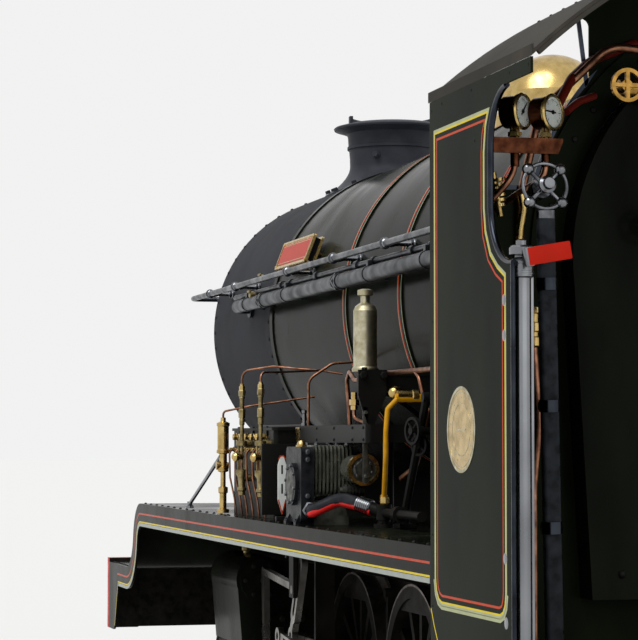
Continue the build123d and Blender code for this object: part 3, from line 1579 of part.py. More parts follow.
with BuildPart() as hose_elbow:
    with BuildSketch(Plane(origin=elbow_at, z_dir=elbow_dir)):
        Circle(elbow_r)
    extrude(amount=elbow_stub)
    with BuildSketch(Plane.XY.offset(deck_z)):
        with Locations((elbow_at.X, elbow_at.Y)):
            Circle(elbow_r)
    extrude(amount=28)
    with BuildSketch(Plane.XY.offset(deck_z)):
        with Locations((elbow_at.X, elbow_at.Y)):
            Circle(elbow_r + 8)
    extrude(amount=7)
    with BuildSketch(Plane.XY.offset(elbow_at.Z - 13)):
        with Locations((elbow_at.X, elbow_at.Y)):
            Circle(15)
    extrude(amount=29)
    with BuildSketch(cross_plane(elbow_at.X)):
        with Locations((elbow_at.Y, elbow_at.Z)):
            Circle(9)
    extrude(amount=-250)
    with BuildSketch(cross_plane(elbow_at.X - 90)):
        with Locations((elbow_at.Y, elbow_at.Z)):
            Circle(15)
    extrude(amount=-22)
save(hose_elbow, "hose_elbow")

# Amber oil pipe from a union on the barrel down to the elbow
oil_pipe_r = 5.0
oil_pipe_path = [
    Vector(-660, 442, 853),
    Vector(-660, 463, 832),
    Vector(-658, 466, 790),
    Vector(-650, 464, 740),
    Vector(-625, 459, 695),
    Vector(elbow_at.X, elbow_at.Y, elbow_at.Z + 28),
]
union_low_z = elbow_at.Z + 16 + seat_gap
with BuildPart() as oil_pipe:
    with BuildLine():
        FilletPolyline(*oil_pipe_path, radius=(10, 40, 60, 40))
    with BuildSketch(
        Plane(origin=oil_pipe_path[0], z_dir=oil_pipe_path[1] - oil_pipe_path[0])
    ):
        Circle(oil_pipe_r)
    sweep()
    with BuildSketch(Plane.XY.offset(union_low_z)):
        with Locations((elbow_at.X, elbow_at.Y)):
            Circle(7)
    extrude(amount=18)
    with BuildSketch(side_plane(oil_pipe_path[0].X, 300, oil_pipe_path[0].Z, 1)):
        Circle(8)
    extrude(amount=oil_pipe_path[0].Y - 300 + 5)
    with Locations((oil_pipe_path[0].X, 0, boiler_z)):
        Cylinder(boiler_r + seat_gap, 100, rotation=(0, 90, 0), mode=Mode.SUBTRACT)
save(oil_pipe, "oil_pipe")

# Cab fittings: two gauges on a bracket from the left cab side
gauge_r = 27.0
gauge_x = smokebox_front_x - 2880
gauge_z = 1281.0
gauge_depth = 30.0
gauge_bracket_z = 1240.0
gauge_bracket_inner_y = 430.0
with BuildPart() as cab_gauges:
    for y, angle in ((505, 42), (455, 36)):
        turn = radians(angle)
        face = Plane(
            origin=(gauge_x, y, gauge_z),
            x_dir=(-sin(turn), cos(turn), 0),
            z_dir=(-cos(turn), -sin(turn), 0),
        )
        with BuildSketch(face.offset(-gauge_depth / 2)):
            Circle(gauge_r - 2)
        extrude(amount=gauge_depth - 3)
        with BuildSketch(face.offset(gauge_depth / 2 - 7)):
            Circle(gauge_r)
        extrude(amount=7)
        with BuildSketch(face.offset(gauge_depth / 2 - 2)):
            Circle(gauge_r - 3)
        extrude(amount=2, mode=Mode.SUBTRACT)
        with BuildSketch(Plane.XY.offset(gauge_bracket_z - 44)):
            with Locations((gauge_x, y)):
                Circle(7)
        extrude(amount=gauge_z - gauge_bracket_z + 44 - gauge_r / 2)
    with BuildSketch(cross_plane(gauge_x - 12)):
        Polygon(
            (gauge_bracket_inner_y, gauge_bracket_z),
            (cab_inside_y, gauge_bracket_z),
            (cab_inside_y, gauge_bracket_z - 48),
            (cab_inside_y - 30, gauge_bracket_z - 24),
            (gauge_bracket_inner_y + 8, gauge_bracket_z - 24),
            (gauge_bracket_inner_y, gauge_bracket_z - 5),
            align=None,
        )
    extrude(amount=5)
    with BuildSketch(Plane.XY.offset(gauge_bracket_z - 5)):
        with Locations((gauge_x, (gauge_bracket_inner_y + cab_inside_y) / 2)):
            Rectangle(24, cab_inside_y - gauge_bracket_inner_y)
    extrude(amount=5)
save(cab_gauges, "cab_gauges")

# Reversing column with its handwheel: rim, four spokes and four balls
column_top = Vector(-1694.0, 516.5, 1148.0)
column_foot = Vector(-1652.0, 489.0, cab_floor_z)
column_axis = column_top - column_foot
wheel_rim_r = 34.0
wheel_plane = Plane(origin=column_top, x_dir=(0, 1, 0), z_dir=(-1, 0, 0.12))
with BuildPart() as reverser:
    with BuildSketch(
        Plane(
            origin=column_foot + column_axis.normalized() * 4, x_dir=(0, 1, 0), z_dir=column_axis
        )
    ):
        RectangleRounded(26, 18, 5)
    extrude(amount=column_axis.length - 40)
    with Locations(column_foot + Vector(0, 0, 4)):
        Box(80, 60, 8)
    with BuildSketch(wheel_plane.offset(-34)):
        Circle(15)
    extrude(amount=22)
    with BuildSketch(wheel_plane.offset(-14)):
        Circle(7)
    extrude(amount=26)
    with BuildSketch(Plane(origin=column_top, x_dir=wheel_plane.x_dir, z_dir=wheel_plane.y_dir)):
        with Locations((wheel_rim_r, 0)):
            Circle(3)
    revolve(axis=Axis(column_top, wheel_plane.z_dir))
    for turn in (45, 135, 225, 315):
        spoke_dir = wheel_plane.x_dir * cos(radians(turn)) + wheel_plane.y_dir * sin(radians(turn))
        with BuildSketch(Plane(origin=column_top, z_dir=spoke_dir)):
            Circle(3.2)
        extrude(amount=wheel_rim_r)
        with Locations(column_top + spoke_dir * (wheel_rim_r + 1)):
            Sphere(7)
save(reverser, "reverser")

# Backhead fittings: firehole door, regulator, water gauges and the steam manifold
backhead_face = Plane(origin=(backhead_x, 0, 0), x_dir=(0, -1, 0), z_dir=(-1, 0, 0))
firehole_z = 790.0
manifold_x = backhead_x - 36
manifold_z = 1331.0
manifold_half = 236.0
manifold_end_y = 315.0
with BuildPart() as backhead_fittings:
    with BuildSketch(backhead_face):
        with Locations((0, firehole_z)):
            Ellipse(112, 84)
    extrude(amount=10)
    with BuildSketch(backhead_face.offset(10)):
        with Locations((0, firehole_z)):
            Ellipse(94, 68)
    extrude(amount=12)
    with BuildSketch(backhead_face.offset(22)):
        with Locations((-64, firehole_z)):
            RectangleRounded(96, 14, 6)
    extrude(amount=8)
    with BuildSketch(backhead_face):
        with Locations((0, 1180)):
            Circle(34)
    extrude(amount=16)
    with BuildSketch(backhead_face.offset(16)):
        with Locations((0, 1180)):
            Circle(16)
    extrude(amount=26)
    with BuildSketch(backhead_face.offset(34)):
        with Locations(Location((-66, 1146), 27)):
            RectangleRounded(190, 15, 7)
    extrude(amount=9)
    for y in (-128, 128):
        for z in (1040, 1214):
            with BuildSketch(backhead_face):
                with Locations((y, z)):
                    Circle(9)
            extrude(amount=40)
            with Locations((backhead_x - 32, y, z)):
                Box(18, 20, 26)
        with BuildSketch(Plane.XY.offset(1040)):
            with Locations((backhead_x - 32, y)):
                Circle(6)
        extrude(amount=174)
    with BuildSketch(length_plane(-manifold_half)):
        with Locations((manifold_x, manifold_z)):
            Circle(14)
    extrude(amount=-(manifold_half + manifold_end_y))
    for y in (-180, 0, 180):
        with BuildSketch(backhead_face):
            with Locations((-y, manifold_z)):
                Circle(12)
        extrude(amount=backhead_x - manifold_x)
    for y in (-150, -60, 60, 150, manifold_end_y):
        valve_wheel_r = 27 if y == manifold_end_y else 20
        with BuildSketch(backhead_face.offset(backhead_x - manifold_x)):
            with Locations((-y, manifold_z)):
                Circle(9)
        extrude(amount=38)
        with BuildSketch(backhead_face.offset(backhead_x - manifold_x + 34)):
            with Locations((-y, manifold_z)):
                Circle(valve_wheel_r)
                Circle(valve_wheel_r - 6, mode=Mode.SUBTRACT)
                Rectangle(2 * valve_wheel_r - 6, 6)
                Rectangle(6, 2 * valve_wheel_r - 6)
        extrude(amount=7)
save(backhead_fittings, "backhead_fittings")

# Ashpan under the firebox, between the brackets that carry it
ashpan_front_x = coupled_x[2] - coupled_spacing / 2 - 10
ashpan_rear_x = bracket_xs[3] + bracket_thickness + 6
ashpan_foot = frame_y - spring_width / 2 - 14
with BuildPart() as ashpan:
    with BuildSketch(cross_plane(ashpan_rear_x)):
        Polygon(
            (-firebox_half_foot + 20, firebox_bottom_z - seat_gap),
            (-firebox_half_foot + 20, firebox_bottom_z - 12),
            (-ashpan_foot, firebox_bottom_z - 16),
            (-ashpan_foot + 12, frame_top_z - 8),
            (ashpan_foot - 12, frame_top_z - 8),
            (ashpan_foot, firebox_bottom_z - 16),
            (firebox_half_foot - 20, firebox_bottom_z - 12),
            (firebox_half_foot - 20, firebox_bottom_z - seat_gap),
            align=None,
        )
    extrude(amount=ashpan_front_x - ashpan_rear_x)
save(ashpan, "ashpan")
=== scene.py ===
"""Finish of a narrow-gauge steam locomotive: paint, lining, brasswork, pipes and cab fittings."""
from math import asin, atan2, cos, degrees, hypot, pi, radians, sin, sqrt, tan

import bmesh
import bpy
from bpy.props import FloatProperty, FloatVectorProperty, PointerProperty
from mathutils import Matrix, Vector


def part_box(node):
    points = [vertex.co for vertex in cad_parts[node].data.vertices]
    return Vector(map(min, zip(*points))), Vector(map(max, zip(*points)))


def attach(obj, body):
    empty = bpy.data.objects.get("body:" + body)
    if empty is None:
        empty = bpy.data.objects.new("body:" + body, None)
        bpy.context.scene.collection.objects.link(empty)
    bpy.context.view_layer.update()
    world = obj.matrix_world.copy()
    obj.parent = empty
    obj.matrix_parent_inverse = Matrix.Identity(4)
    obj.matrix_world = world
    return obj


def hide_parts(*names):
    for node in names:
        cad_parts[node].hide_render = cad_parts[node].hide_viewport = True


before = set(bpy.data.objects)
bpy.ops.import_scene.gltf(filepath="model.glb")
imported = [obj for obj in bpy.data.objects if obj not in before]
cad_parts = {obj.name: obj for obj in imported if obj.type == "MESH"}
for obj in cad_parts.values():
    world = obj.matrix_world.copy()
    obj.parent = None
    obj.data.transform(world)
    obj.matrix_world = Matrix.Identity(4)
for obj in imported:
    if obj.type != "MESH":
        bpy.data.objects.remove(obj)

bl_info = {
    "name": "Steam locomotive finish",
    "version": (1, 0, 0),
    "blender": (4, 5, 0),
    "location": "View3D > Sidebar > Locomotive",
    "description": "Paints and fits out a small black lined steam locomotive",
    "category": "Object",
}

MM = 0.001
BODY = "chassis"
AHEAD, BACK, LEFT, UP = (1, 0, 0), (-1, 0, 0), (0, 1, 0), (0, 0, 1)
SIDES = (("left", 1), ("right", -1))

# Places of the solids that the pieces sit on, in millimetres
SIDE_Y = 600  # outer face of the cab sides and edge plates
DECK_Z = 606
BOILER_Z = 1063
SMOKEBOX_FACE_X = 1355
CHIMNEY_X = 917
SIDE_PIPE_Y, SIDE_PIPE_Z = 420, 1108
HANDRAIL_Z = 1158
PUMPS_X, PUMPS_Y = (169, -17), 562
ROOF_AXIS_Z = 674
PILLAR_X, PILLAR_Y = -1763, 577.7
CYLINDER_Y, CYLINDER_Z = 310, 240.5
VALVE_Y, VALVE_Z = 388, 430

# Wheels, in metres: top of the rail above the frame's origin, radius of each tread and depth of
# the steel tyre inside it
RAIL_TOP_Z = 0.018
TREAD_R = {
    "leading_wheelset": 0.140, "coupled_wheelset_1": 0.2225, "coupled_wheelset_2": 0.2225,
    "coupled_wheelset_3": 0.2225, "coupled_wheelset_4": 0.2225, "trailing_wheelset": 0.150,
}
TYRE_DEPTH = 0.006


def linear(colour):
    """Linear colour of an sRGB hex colour; a colour from the panel is linear already."""
    if not isinstance(colour, str):
        return (*colour, 1)
    channels = [int(colour.lstrip("#")[i:i + 2], 16) / 255 for i in (0, 2, 4)]
    return (*(c / 12.92 if c <= 0.04045 else ((c + 0.055) / 1.055) ** 2.4 for c in channels), 1)


def fill(node, inputs):
    """Link or set the input sockets of a node."""
    for key, value in inputs.items():
        if isinstance(value, bpy.types.NodeSocket):
            node.id_data.links.new(value, node.inputs[key])
        else:
            node.inputs[key].default_value = value


def add_node(tree, kind, inputs=None, **settings):
    """Add one node, set its attributes, and fill or link its input sockets."""
    node = tree.nodes.new(kind)
    for key, value in settings.items():
        setattr(node, key, value)
    fill(node, inputs or {})
    return node


def new_material(name, **shader):
    """Start a material whose principled shader has the given constant sockets."""
    material = bpy.data.materials.new(name)
    material.use_nodes = True
    surface = material.node_tree.nodes["Principled BSDF"]
    fill(surface, {key.replace("_", " "): value for key, value in shader.items()})
    return material, material.node_tree, surface


def object_place(tree):
    """Coordinates in the locomotive's own frame, in metres, at rest."""
    return add_node(tree, "ShaderNodeTexCoord").outputs["Object"]


def object_axes(tree):
    """The three coordinates apart."""
    return add_node(tree, "ShaderNodeSeparateXYZ", {0: object_place(tree)}).outputs


def compute(tree, operation, *values):
    """One operation on values or sockets."""
    inputs = dict(enumerate(values))
    return add_node(tree, "ShaderNodeMath", inputs, operation=operation).outputs[0]


def span(tree, value, low, high, start=0.0, end=1.0):
    """From low to high, as the value goes from start to end."""
    return add_node(tree, "ShaderNodeMapRange", {
        "Value": value, "From Min": start, "From Max": end, "To Min": low, "To Max": high,
    }).outputs[0]


def grey_noise(tree, size_mm, detail, low=0.0, high=1.0, stretch=(1, 1, 1)):
    """A value between low and high that varies over patches of the given size."""
    place = add_node(
        tree, "ShaderNodeMapping", {"Vector": object_place(tree), "Scale": stretch}
    ).outputs[0]
    noise = add_node(
        tree, "ShaderNodeTexNoise", {"Vector": place, "Scale": 1000 / size_mm, "Detail": detail}
    )
    return span(tree, noise.outputs["Fac"], low, high, 0.3, 0.7)


def tint(tree, factor, *colours):
    """Mix two colours, or sockets that carry them, by a factor socket."""
    first, second = (
        c if isinstance(c, bpy.types.NodeSocket) else linear(c) for c in colours
    )
    inputs = {0: factor, 6: first, 7: second}
    return add_node(tree, "ShaderNodeMix", inputs, data_type="RGBA").outputs[2]


def relief(tree, size_mm, depth_mm, strength, detail):
    """A normal from noise of the given size, as a bump of the given depth."""
    height = grey_noise(tree, size_mm, detail)
    return add_node(
        tree, "ShaderNodeBump",
        {"Height": height, "Strength": strength, "Distance": depth_mm * MM},
    ).outputs[0]


def coach_enamel(name, base, haze, roughness, haze_roughness, shine):
    """Brushed and varnished coach enamel: deep gloss with a thin film of steam and soot."""
    material, tree, surface = new_material(name, IOR=1.5, Specular_IOR_Level=shine)
    streaks = grey_noise(tree, 130, 6.0, stretch=(1.0, 1.0, 0.35))
    fill(surface, {
        "Base Color": tint(tree, streaks, base, haze),
        "Roughness": span(tree, streaks, roughness, haze_roughness),
        # Rolled sheet is never dead flat, so reflections waver over about 90 mm
        "Normal": relief(tree, 90, 0.25, 0.5, 2.0),
    })
    return material


def heat_paint(name, base, worn, roughness):
    """Heat-resisting paint on the smokebox: dry, dead matt, mottled where it has baked."""
    material, tree, surface = new_material(name, IOR=1.45, Specular_IOR_Level=0.06)
    mottle = grey_noise(tree, 45, 8.0)
    drips = grey_noise(tree, 220, 4.0, stretch=(1.0, 1.0, 0.25))
    fill(surface, {
        "Base Color": tint(tree, drips, tint(tree, mottle, base, worn), base),
        "Roughness": span(tree, mottle, roughness - 0.12, roughness),
        # Dry grain under 1 mm across, drawn at 3 mm so that it shows
        "Normal": relief(tree, 3, 0.12, 0.6, 4.0),
    })
    return material


def worn_metal(name, base, dull, roughness, dull_roughness, patch_mm, grain_mm=2.0):
    """Bare or lacquered metal: bright where it is rubbed, darker where it has dulled."""
    material, tree, surface = new_material(name, Metallic=1.0)
    patch = grey_noise(tree, patch_mm, 6.0)
    fill(surface, {
        "Base Color": tint(tree, patch, base, dull),
        "Roughness": span(tree, patch, roughness, dull_roughness),
        # Fine rubbing marks, drawn 2 mm apart so that they show
        "Normal": relief(tree, grain_mm, 0.04, 0.5, 2.0),
    })
    return material


def painted_iron(name, base, grime, roughness):
    """Satin paint on castings and frames, browned with oil and road dust low down."""
    material, tree, surface = new_material(name, IOR=1.5, Specular_IOR_Level=0.06)
    # 1 at the rail, falling to 0 at 0.7 m: where oil, water scale and dust gather
    low = span(tree, object_axes(tree)[2], 1.0, 0.0, 0.0, 0.7)
    mask = compute(tree, "MULTIPLY", low, grey_noise(tree, 60, 6.0, 0.2))
    fill(surface, {
        "Base Color": tint(tree, mask, base, grime),
        "Roughness": span(tree, mask, roughness, roughness + 0.3),
        "Normal": relief(tree, 6, 0.15, 0.5, 4.0),
    })
    return material


def line_enamel(name, base, roughness=0.25):
    """Signwriter's enamel of the lining: opaque, slightly proud of the ground colour."""
    material, tree, surface = new_material(
        name, IOR=1.5, Specular_IOR_Level=0.04, Roughness=roughness
    )
    faded = [c * 0.86 for c in linear(base)[:3]]
    fill(surface, {"Base Color": tint(tree, grey_noise(tree, 25, 4.0), base, faded)})
    return material


def moulded_rubber(name, base, roughness):
    """Moulded rubber or plastic tube: even colour, a soft sheen and fine wear."""
    material, tree, surface = new_material(
        name, IOR=1.5, Specular_IOR_Level=0.15, Roughness=roughness
    )
    worn = [min(1, c * 1.25 + 0.01) for c in linear(base)[:3]]
    fill(surface, {
        "Base Color": tint(tree, grey_noise(tree, 12, 5.0), base, worn),
        # Grain of the mould, drawn at 2 mm so that it shows
        "Normal": relief(tree, 2, 0.05, 0.4, 3.0),
    })
    return material


def parted_finish(name, axis, edge, low_look, high_look):
    """One casting in two finishes that meet along an axis: (colour, worn colour, metallic)."""
    material, tree, surface = new_material(name, IOR=1.5, Specular_IOR_Level=0.04)
    above = compute(tree, "GREATER_THAN", object_axes(tree)[axis], edge)
    wear = grey_noise(tree, 18, 6.0)
    looks = [tint(tree, wear, base, worn) for base, worn, _ in (low_look, high_look)]
    fill(surface, {
        "Base Color": tint(tree, above, *looks),
        "Metallic": span(tree, above, low_look[2], high_look[2]),
        "Roughness": span(tree, wear, 0.2, 0.42),
        "Normal": relief(tree, 3, 0.05, 0.5, 3.0),
    })
    return material


def tyred_wheel(name, axle_x, axle_z, tread_r):
    """Black spoked centre and machined steel tyre, told apart by distance from the axle."""
    material, tree, surface = new_material(name, IOR=1.5, Specular_IOR_Level=0.04)
    axes = object_axes(tree)
    across = compute(tree, "SUBTRACT", axes[0], axle_x)
    up = compute(tree, "SUBTRACT", axes[2], axle_z)
    pair = add_node(tree, "ShaderNodeCombineXYZ", {0: across, 1: up}).outputs[0]
    radius = add_node(tree, "ShaderNodeVectorMath", {0: pair}, operation="LENGTH")
    steel = compute(tree, "GREATER_THAN", radius.outputs["Value"], tread_r - TYRE_DEPTH)
    dust = grey_noise(tree, 30, 6.0)
    paint = tint(tree, dust, "#0E0F0E", "#24211D")
    tyre = tint(tree, dust, "#8B8781", "#5C5148")
    fill(surface, {
        "Base Color": tint(tree, steel, paint, tyre),
        "Metallic": steel,
        "Roughness": span(tree, dust, 0.28, 0.5),
        "Normal": relief(tree, 5, 0.1, 0.4, 3.0),
    })
    return material


def gauge_glass(name):
    """Clear flat glass over a dial."""
    return new_material(
        name, IOR=1.5, Roughness=0.02, Transmission_Weight=1.0, Alpha=0.35,
        Base_Color=linear("#F4F8F6"),
    )[0]


def colour_property(name, description, hex_colour):
    """A colour in the panel, its default given as it looks on screen."""
    return FloatVectorProperty(
        name=name, description=description, default=linear(hex_colour)[:3], size=3,
        min=0, max=1, subtype="COLOR",
    )


class ColourSettings(bpy.types.PropertyGroup):
    """Colours that an owner would change, read when the paints are mixed."""

    boiler: colour_property("Boiler", "Black enamel of boiler and running plates", "#090B08")
    cab: colour_property("Cab", "Black-green enamel of the cab", "#0D110A")
    smokebox: colour_property("Smokebox", "Graphite heat paint", "#2B2C30")
    roof: colour_property("Roof", "Bitumen paint of the cab roof", "#33312D")
    frames: colour_property("Frames", "Satin black of frames and brake gear", "#0D0D0C")
    red: colour_property("Red", "Signal red enamel", "#C3200F")
    beam: colour_property("Buffer beam", "Red of the beam's outer faces", "#C2301A")
    plate: colour_property("Nameplate", "Red field of the nameplate", "#B42A0E")
    pale_line: colour_property("Pale line", "Outer line of the cab side", "#A9AE86")
    yellow_line: colour_property("Yellow line", "Middle line of the cab side", "#D8BE12")
    red_line: colour_property("Vermilion line", "Inner line and deck line", "#BC3A0C")
    brass: colour_property("Brass", "Polished brass of dome and valves", "#CDB274")
    copper: colour_property("Copper", "Copper pipes, browned by heat", "#A3745A")
    steel: colour_property("Steel", "Polished bars of the cab", "#8B8D90")


PAINTS = {}


def mix_paints():
    """Make every finish once, by the name that the pieces use."""
    colours = bpy.context.scene.loco_colours
    recipes = {
        # Deep black gloss that greys in soft streaks
        "black": (coach_enamel, "black_coach_enamel", colours.boiler, "#1A1D16", 0.14, 0.3, 0.015),
        # The same gloss with a hint of green
        "cab_black": (
            coach_enamel, "black_green_cab_enamel", colours.cab, "#1A2014", 0.14, 0.26, 0.01
        ),
        # Bright red gloss, a little darker where it is dirty
        "red": (coach_enamel, "signal_red_enamel", colours.red, "#9A1C0E", 0.2, 0.36, 0.06),
        # Blue-grey, dry and blotched by heat
        "smokebox": (heat_paint, "graphite_heat_paint", colours.smokebox, "#3A3B3F", 0.72),
        # The same with more sheen, as brushed onto a casting
        "chimney": (heat_paint, "baked_chimney_paint", "#2E3036", "#43454B", 0.5),
        # Warm tarry black without shine
        "roof": (heat_paint, "roof_bitumen_paint", colours.roof, "#4A463F", 0.75),
        # Satin black, brown with road dust low down
        "frame": (painted_iron, "frame_satin_black", colours.frames, "#2E2A24", 0.35),
        # Softer black of rough castings
        "iron": (painted_iron, "cast_iron_engine_black", "#151514", "#34302A", 0.4),
        # Black of painted bolt heads
        "dark_bolt": (painted_iron, "painted_bolt_head", "#141413", "#2C2A26", 0.35),
        # Black pillar of the reverser below, its bright handwheel above
        "column": (
            parted_finish, "reverser_black_and_steel", 2, 1.1, ("#141619", "#2A2D31", 0.0),
            ("#7C7E82", "#46484C", 1.0),
        ),
        # Red on the outer faces of the beam and black on its back, parted 0.5 mm from the back
        "beam": (
            parted_finish, "beam_red_and_black", 0, 1.7355, ("#121210", "#24221E", 0.0),
            (colours.beam, "#9C2815", 0.0),
        ),
        # Cast brass valves high on the backhead, black iron firehole below
        "backhead": (
            parted_finish, "backhead_iron_and_brass", 2, 1.0, ("#1B1A18", "#38332C", 0.4),
            ("#B88D45", "#7E6030", 1.0),
        ),
        # Black crankcase outside, bare finned cylinder inside of it
        "compressor": (
            parted_finish, "compressor_black_and_bare_fins", 1, 0.556,
            ("#75766B", "#3C3D36", 0.5), ("#141518", "#26272A", 0.0),
        ),
        # Flat opaque colours of lines, plates and dials
        "dark_red": (line_enamel, "dark_red_pipe_enamel", "#5A1B14", 0.3),
        "plate_red": (line_enamel, "nameplate_red_enamel", colours.plate, 0.3),
        "cream": (line_enamel, "pale_green_line", colours.pale_line),
        "yellow": (line_enamel, "straw_yellow_line", colours.yellow_line),
        "orange": (line_enamel, "vermilion_line", colours.red_line),
        "grey_line": (line_enamel, "pale_grey_line", "#9DA39C"),
        "dial": (line_enamel, "white_dial_enamel", "#DDE1DC", 0.35),
        "ink": (line_enamel, "black_dial_ink", "#101112", 0.4),
        # Cool bright bars with long soft changes
        "steel": (worn_metal, "polished_steel_bar", colours.steel, "#6C6E72", 0.18, 0.3, 140),
        # Dark blue-grey sheen of bars and beading that hands have rubbed
        "rail": (worn_metal, "handrail_blued_steel", "#5A5D62", "#303338", 0.24, 0.44, 30),
        "beading": (worn_metal, "blued_steel_beading", "#3A3E46", "#1C1F25", 0.16, 0.3, 60),
        # Dull grey pipe, steel warm with oil, plain bright bolts
        "pipe": (worn_metal, "dulled_steel_pipe", "#4C4F54", "#292C31", 0.32, 0.5, 40),
        "motion": (worn_metal, "oiled_motion_steel", "#8A8782", "#57524B", 0.22, 0.42, 60),
        "bolt": (worn_metal, "bolt_steel", "#77797B", "#47494B", 0.3, 0.5, 10),
        # Clear yellow shine, pale cast plate, brown tarnish in the corners
        "brass": (worn_metal, "polished_brass", colours.brass, "#A68C56", 0.17, 0.34, 18),
        "plate_brass": (
            worn_metal, "cast_plate_brass", "#C9C3AB", "#98906F", 0.3, 0.5, 14, 2.5
        ),
        "old_brass": (worn_metal, "tarnished_brass", "#A6976A", "#66583A", 0.3, 0.52, 14),
        # Salmon brown with darker heat marks; nearly black on the gauges, which is painted shade
        # of the cab's shadow
        "copper": (worn_metal, "heated_copper", colours.copper, "#5C3C2E", 0.26, 0.46, 20),
        "gauge_copper": (worn_metal, "browned_gauge_copper", "#54301F", "#2A150D", 0.26, 0.44, 16),
        # Grey, grainy and dull
        "alloy": (worn_metal, "cast_aluminium", "#6B6C66", "#3A3B37", 0.42, 0.62, 12),
        # Even colour with a soft sheen
        "hose": (moulded_rubber, "black_rubber_hose", "#15171C", 0.35),
        "hose_red": (moulded_rubber, "red_hose_stripe", "#C4201C", 0.4),
        "yellow_tube": (moulded_rubber, "amber_nylon_tube", "#C48C0C", 0.24),
        # Clear, with a sharp reflection
        "glass": (gauge_glass, "flat_gauge_glass"),
    }
    for paint, (recipe, *inputs) in recipes.items():
        PAINTS[paint] = recipe(*inputs)


# Every solid but the wheels, by its paint
SOLIDS = {
    "black": "boiler running_plates front_platform cylinders boiler_bands",
    "cab_black": "cab_front cab_side_left cab_side_right",
    "smokebox": "smokebox smokebox_door door_hinge",
    "chimney": "chimney",
    "roof": "cab_roof",
    "brass": "dome safety_valves nameplate",
    "plate_brass": "lubricator",
    "old_brass": "oil_pumps",
    "beam": "buffer_beam",
    "hose": "air_hose",
    "yellow_tube": "oil_pipe",
    "backhead": "backhead_fittings",
    "compressor": "compressor",
    # Gauges in copper painted nearly black: painted shade of the cab
    "gauge_copper": "cab_gauges",
    "column": "reverser",
    "steel": "cab_pillars",
    "rail": "handrails",
    "pipe": "side_pipes",
    "iron": "smokebox_saddle hose_elbow front_coupler axleboxes lubricator_bracket oil_box"
            " deck_tank",
    "frame": "cab_floor springs brake_gear ashpan drag_beam main_frames deck_brackets motion_plate"
             " leading_truck trailing_truck",
    "motion": "crossheads slide_bars valve_gears coupling_rod_left coupling_rod_right"
              " connecting_rod_left connecting_rod_right eccentric_rod_left eccentric_rod_right",
}


def paint_solid(name, material):
    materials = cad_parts[name].data.materials
    materials.clear()
    materials.append(material)


class PAINT_OT_locomotive(bpy.types.Operator):
    """Give every solid of the locomotive its real finish"""

    bl_idname = "loco.paint"
    bl_label = "Paint the locomotive"

    def execute(self, context):
        for paint, names in SOLIDS.items():
            for name in names.split():
                paint_solid(name, PAINTS[paint])
        for name, tread_r in TREAD_R.items():
            low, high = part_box(name)
            axle_x = (low[0] + high[0]) / 2
            wheel = tyred_wheel(f"{name}_steel", axle_x, RAIL_TOP_Z + tread_r, tread_r)
            paint_solid(name, wheel)
        return {"FINISHED"}


# Mesh helpers. Every length and place below is in millimetres, and a piece is scaled once, when
# it is finished.
def turns(count, first=0.0):
    """Angles that share out a full circle."""
    return [first + 2 * pi * i / count for i in range(count)]


def polar(radius, turn, centre=(0, 0)):
    """The point at an angle round a centre."""
    return centre[0] + radius * cos(turn), centre[1] + radius * sin(turn)


def arc(centre, radius, start, end, steps):
    """Points on an arc from one angle to another, ends included."""
    return [polar(radius, start + (end - start) * i / steps, centre) for i in range(steps + 1)]


def axis_frame(origin, direction, up=UP):
    """A matrix at origin whose own Z points along direction and whose Y leans towards up."""
    ahead = Vector(direction).normalized()
    side = Vector(up).cross(ahead)
    if side.length < 1e-4:
        side = Vector(LEFT).cross(ahead)
    side.normalize()
    matrix = Matrix((side, ahead.cross(side), ahead)).transposed().to_4x4()
    matrix.translation = Vector(origin)
    return matrix


def skin(mesh, rings, closed=False):
    """Vertices at each ring's points and faces between neighbours; open ends are capped."""
    rings = [[mesh.verts.new(point) for point in ring] for ring in rings]
    pairs = list(zip(rings, rings[1:]))
    if closed:
        pairs.append((rings[-1], rings[0]))
    for first, second in pairs:
        count = max(len(first), len(second))
        for i in range(count):
            j = (i + 1) % count
            corners = list(dict.fromkeys((
                first[i % len(first)], first[j % len(first)],
                second[j % len(second)], second[i % len(second)],
            )))
            if len(corners) > 2:
                mesh.faces.new(corners)
    if not closed:
        for ring in (rings[0], rings[-1]):
            if len(ring) > 2:
                mesh.faces.new(ring)
    return rings


def turned(mesh, origin, direction, profile, sides=20):
    """A lathe-turned form: profile gives (distance along the axis, radius) from end to end."""
    place = axis_frame(origin, direction)
    skin(mesh, [
        [place @ Vector((*polar(radius, turn), along)) for turn in turns(sides if radius else 1)]
        for along, radius in profile
    ])


def hoop(mesh, origin, direction, profile, sides=48):
    """A ring turned about an axis from a closed (distance along, radius) section."""
    place = axis_frame(origin, direction)
    skin(mesh, [
        [place @ Vector((*polar(radius, turn), along)) for along, radius in profile]
        for turn in turns(sides)
    ], closed=True)


def collar(mesh, origin, direction, start, end, inner, outer, sides):
    """A plain ring between two places along its axis and two radii."""
    section = [(start, inner), (end, inner), (end, outer), (start, outer)]
    hoop(mesh, origin, direction, section, sides)


def rounded(points, bend):
    """The path through points with each corner rounded to the bend radius."""
    points = [Vector(p) for p in points]
    path = [points[0]]
    for before, corner, after in zip(points, points[1:], points[2:]):
        back, on = before - corner, after - corner
        turn = pi - back.angle(on)
        if turn < 0.02:
            path.append(corner)
            continue
        reach = min(bend * tan(turn / 2), 0.48 * back.length, 0.48 * on.length)
        radius = reach / tan(turn / 2)
        middle = (back.normalized() + on.normalized()).normalized()
        centre = corner + middle * (radius / cos(turn / 2))
        first = corner + back.normalized() * reach - centre
        last = corner + on.normalized() * reach - centre
        steps = max(2, int(degrees(turn) / 12))
        for i in range(steps + 1):
            share = i / steps
            path.append(
                centre + (first * sin((1 - share) * turn) + last * sin(share * turn)) / sin(turn)
            )
    path.append(points[-1])
    return path


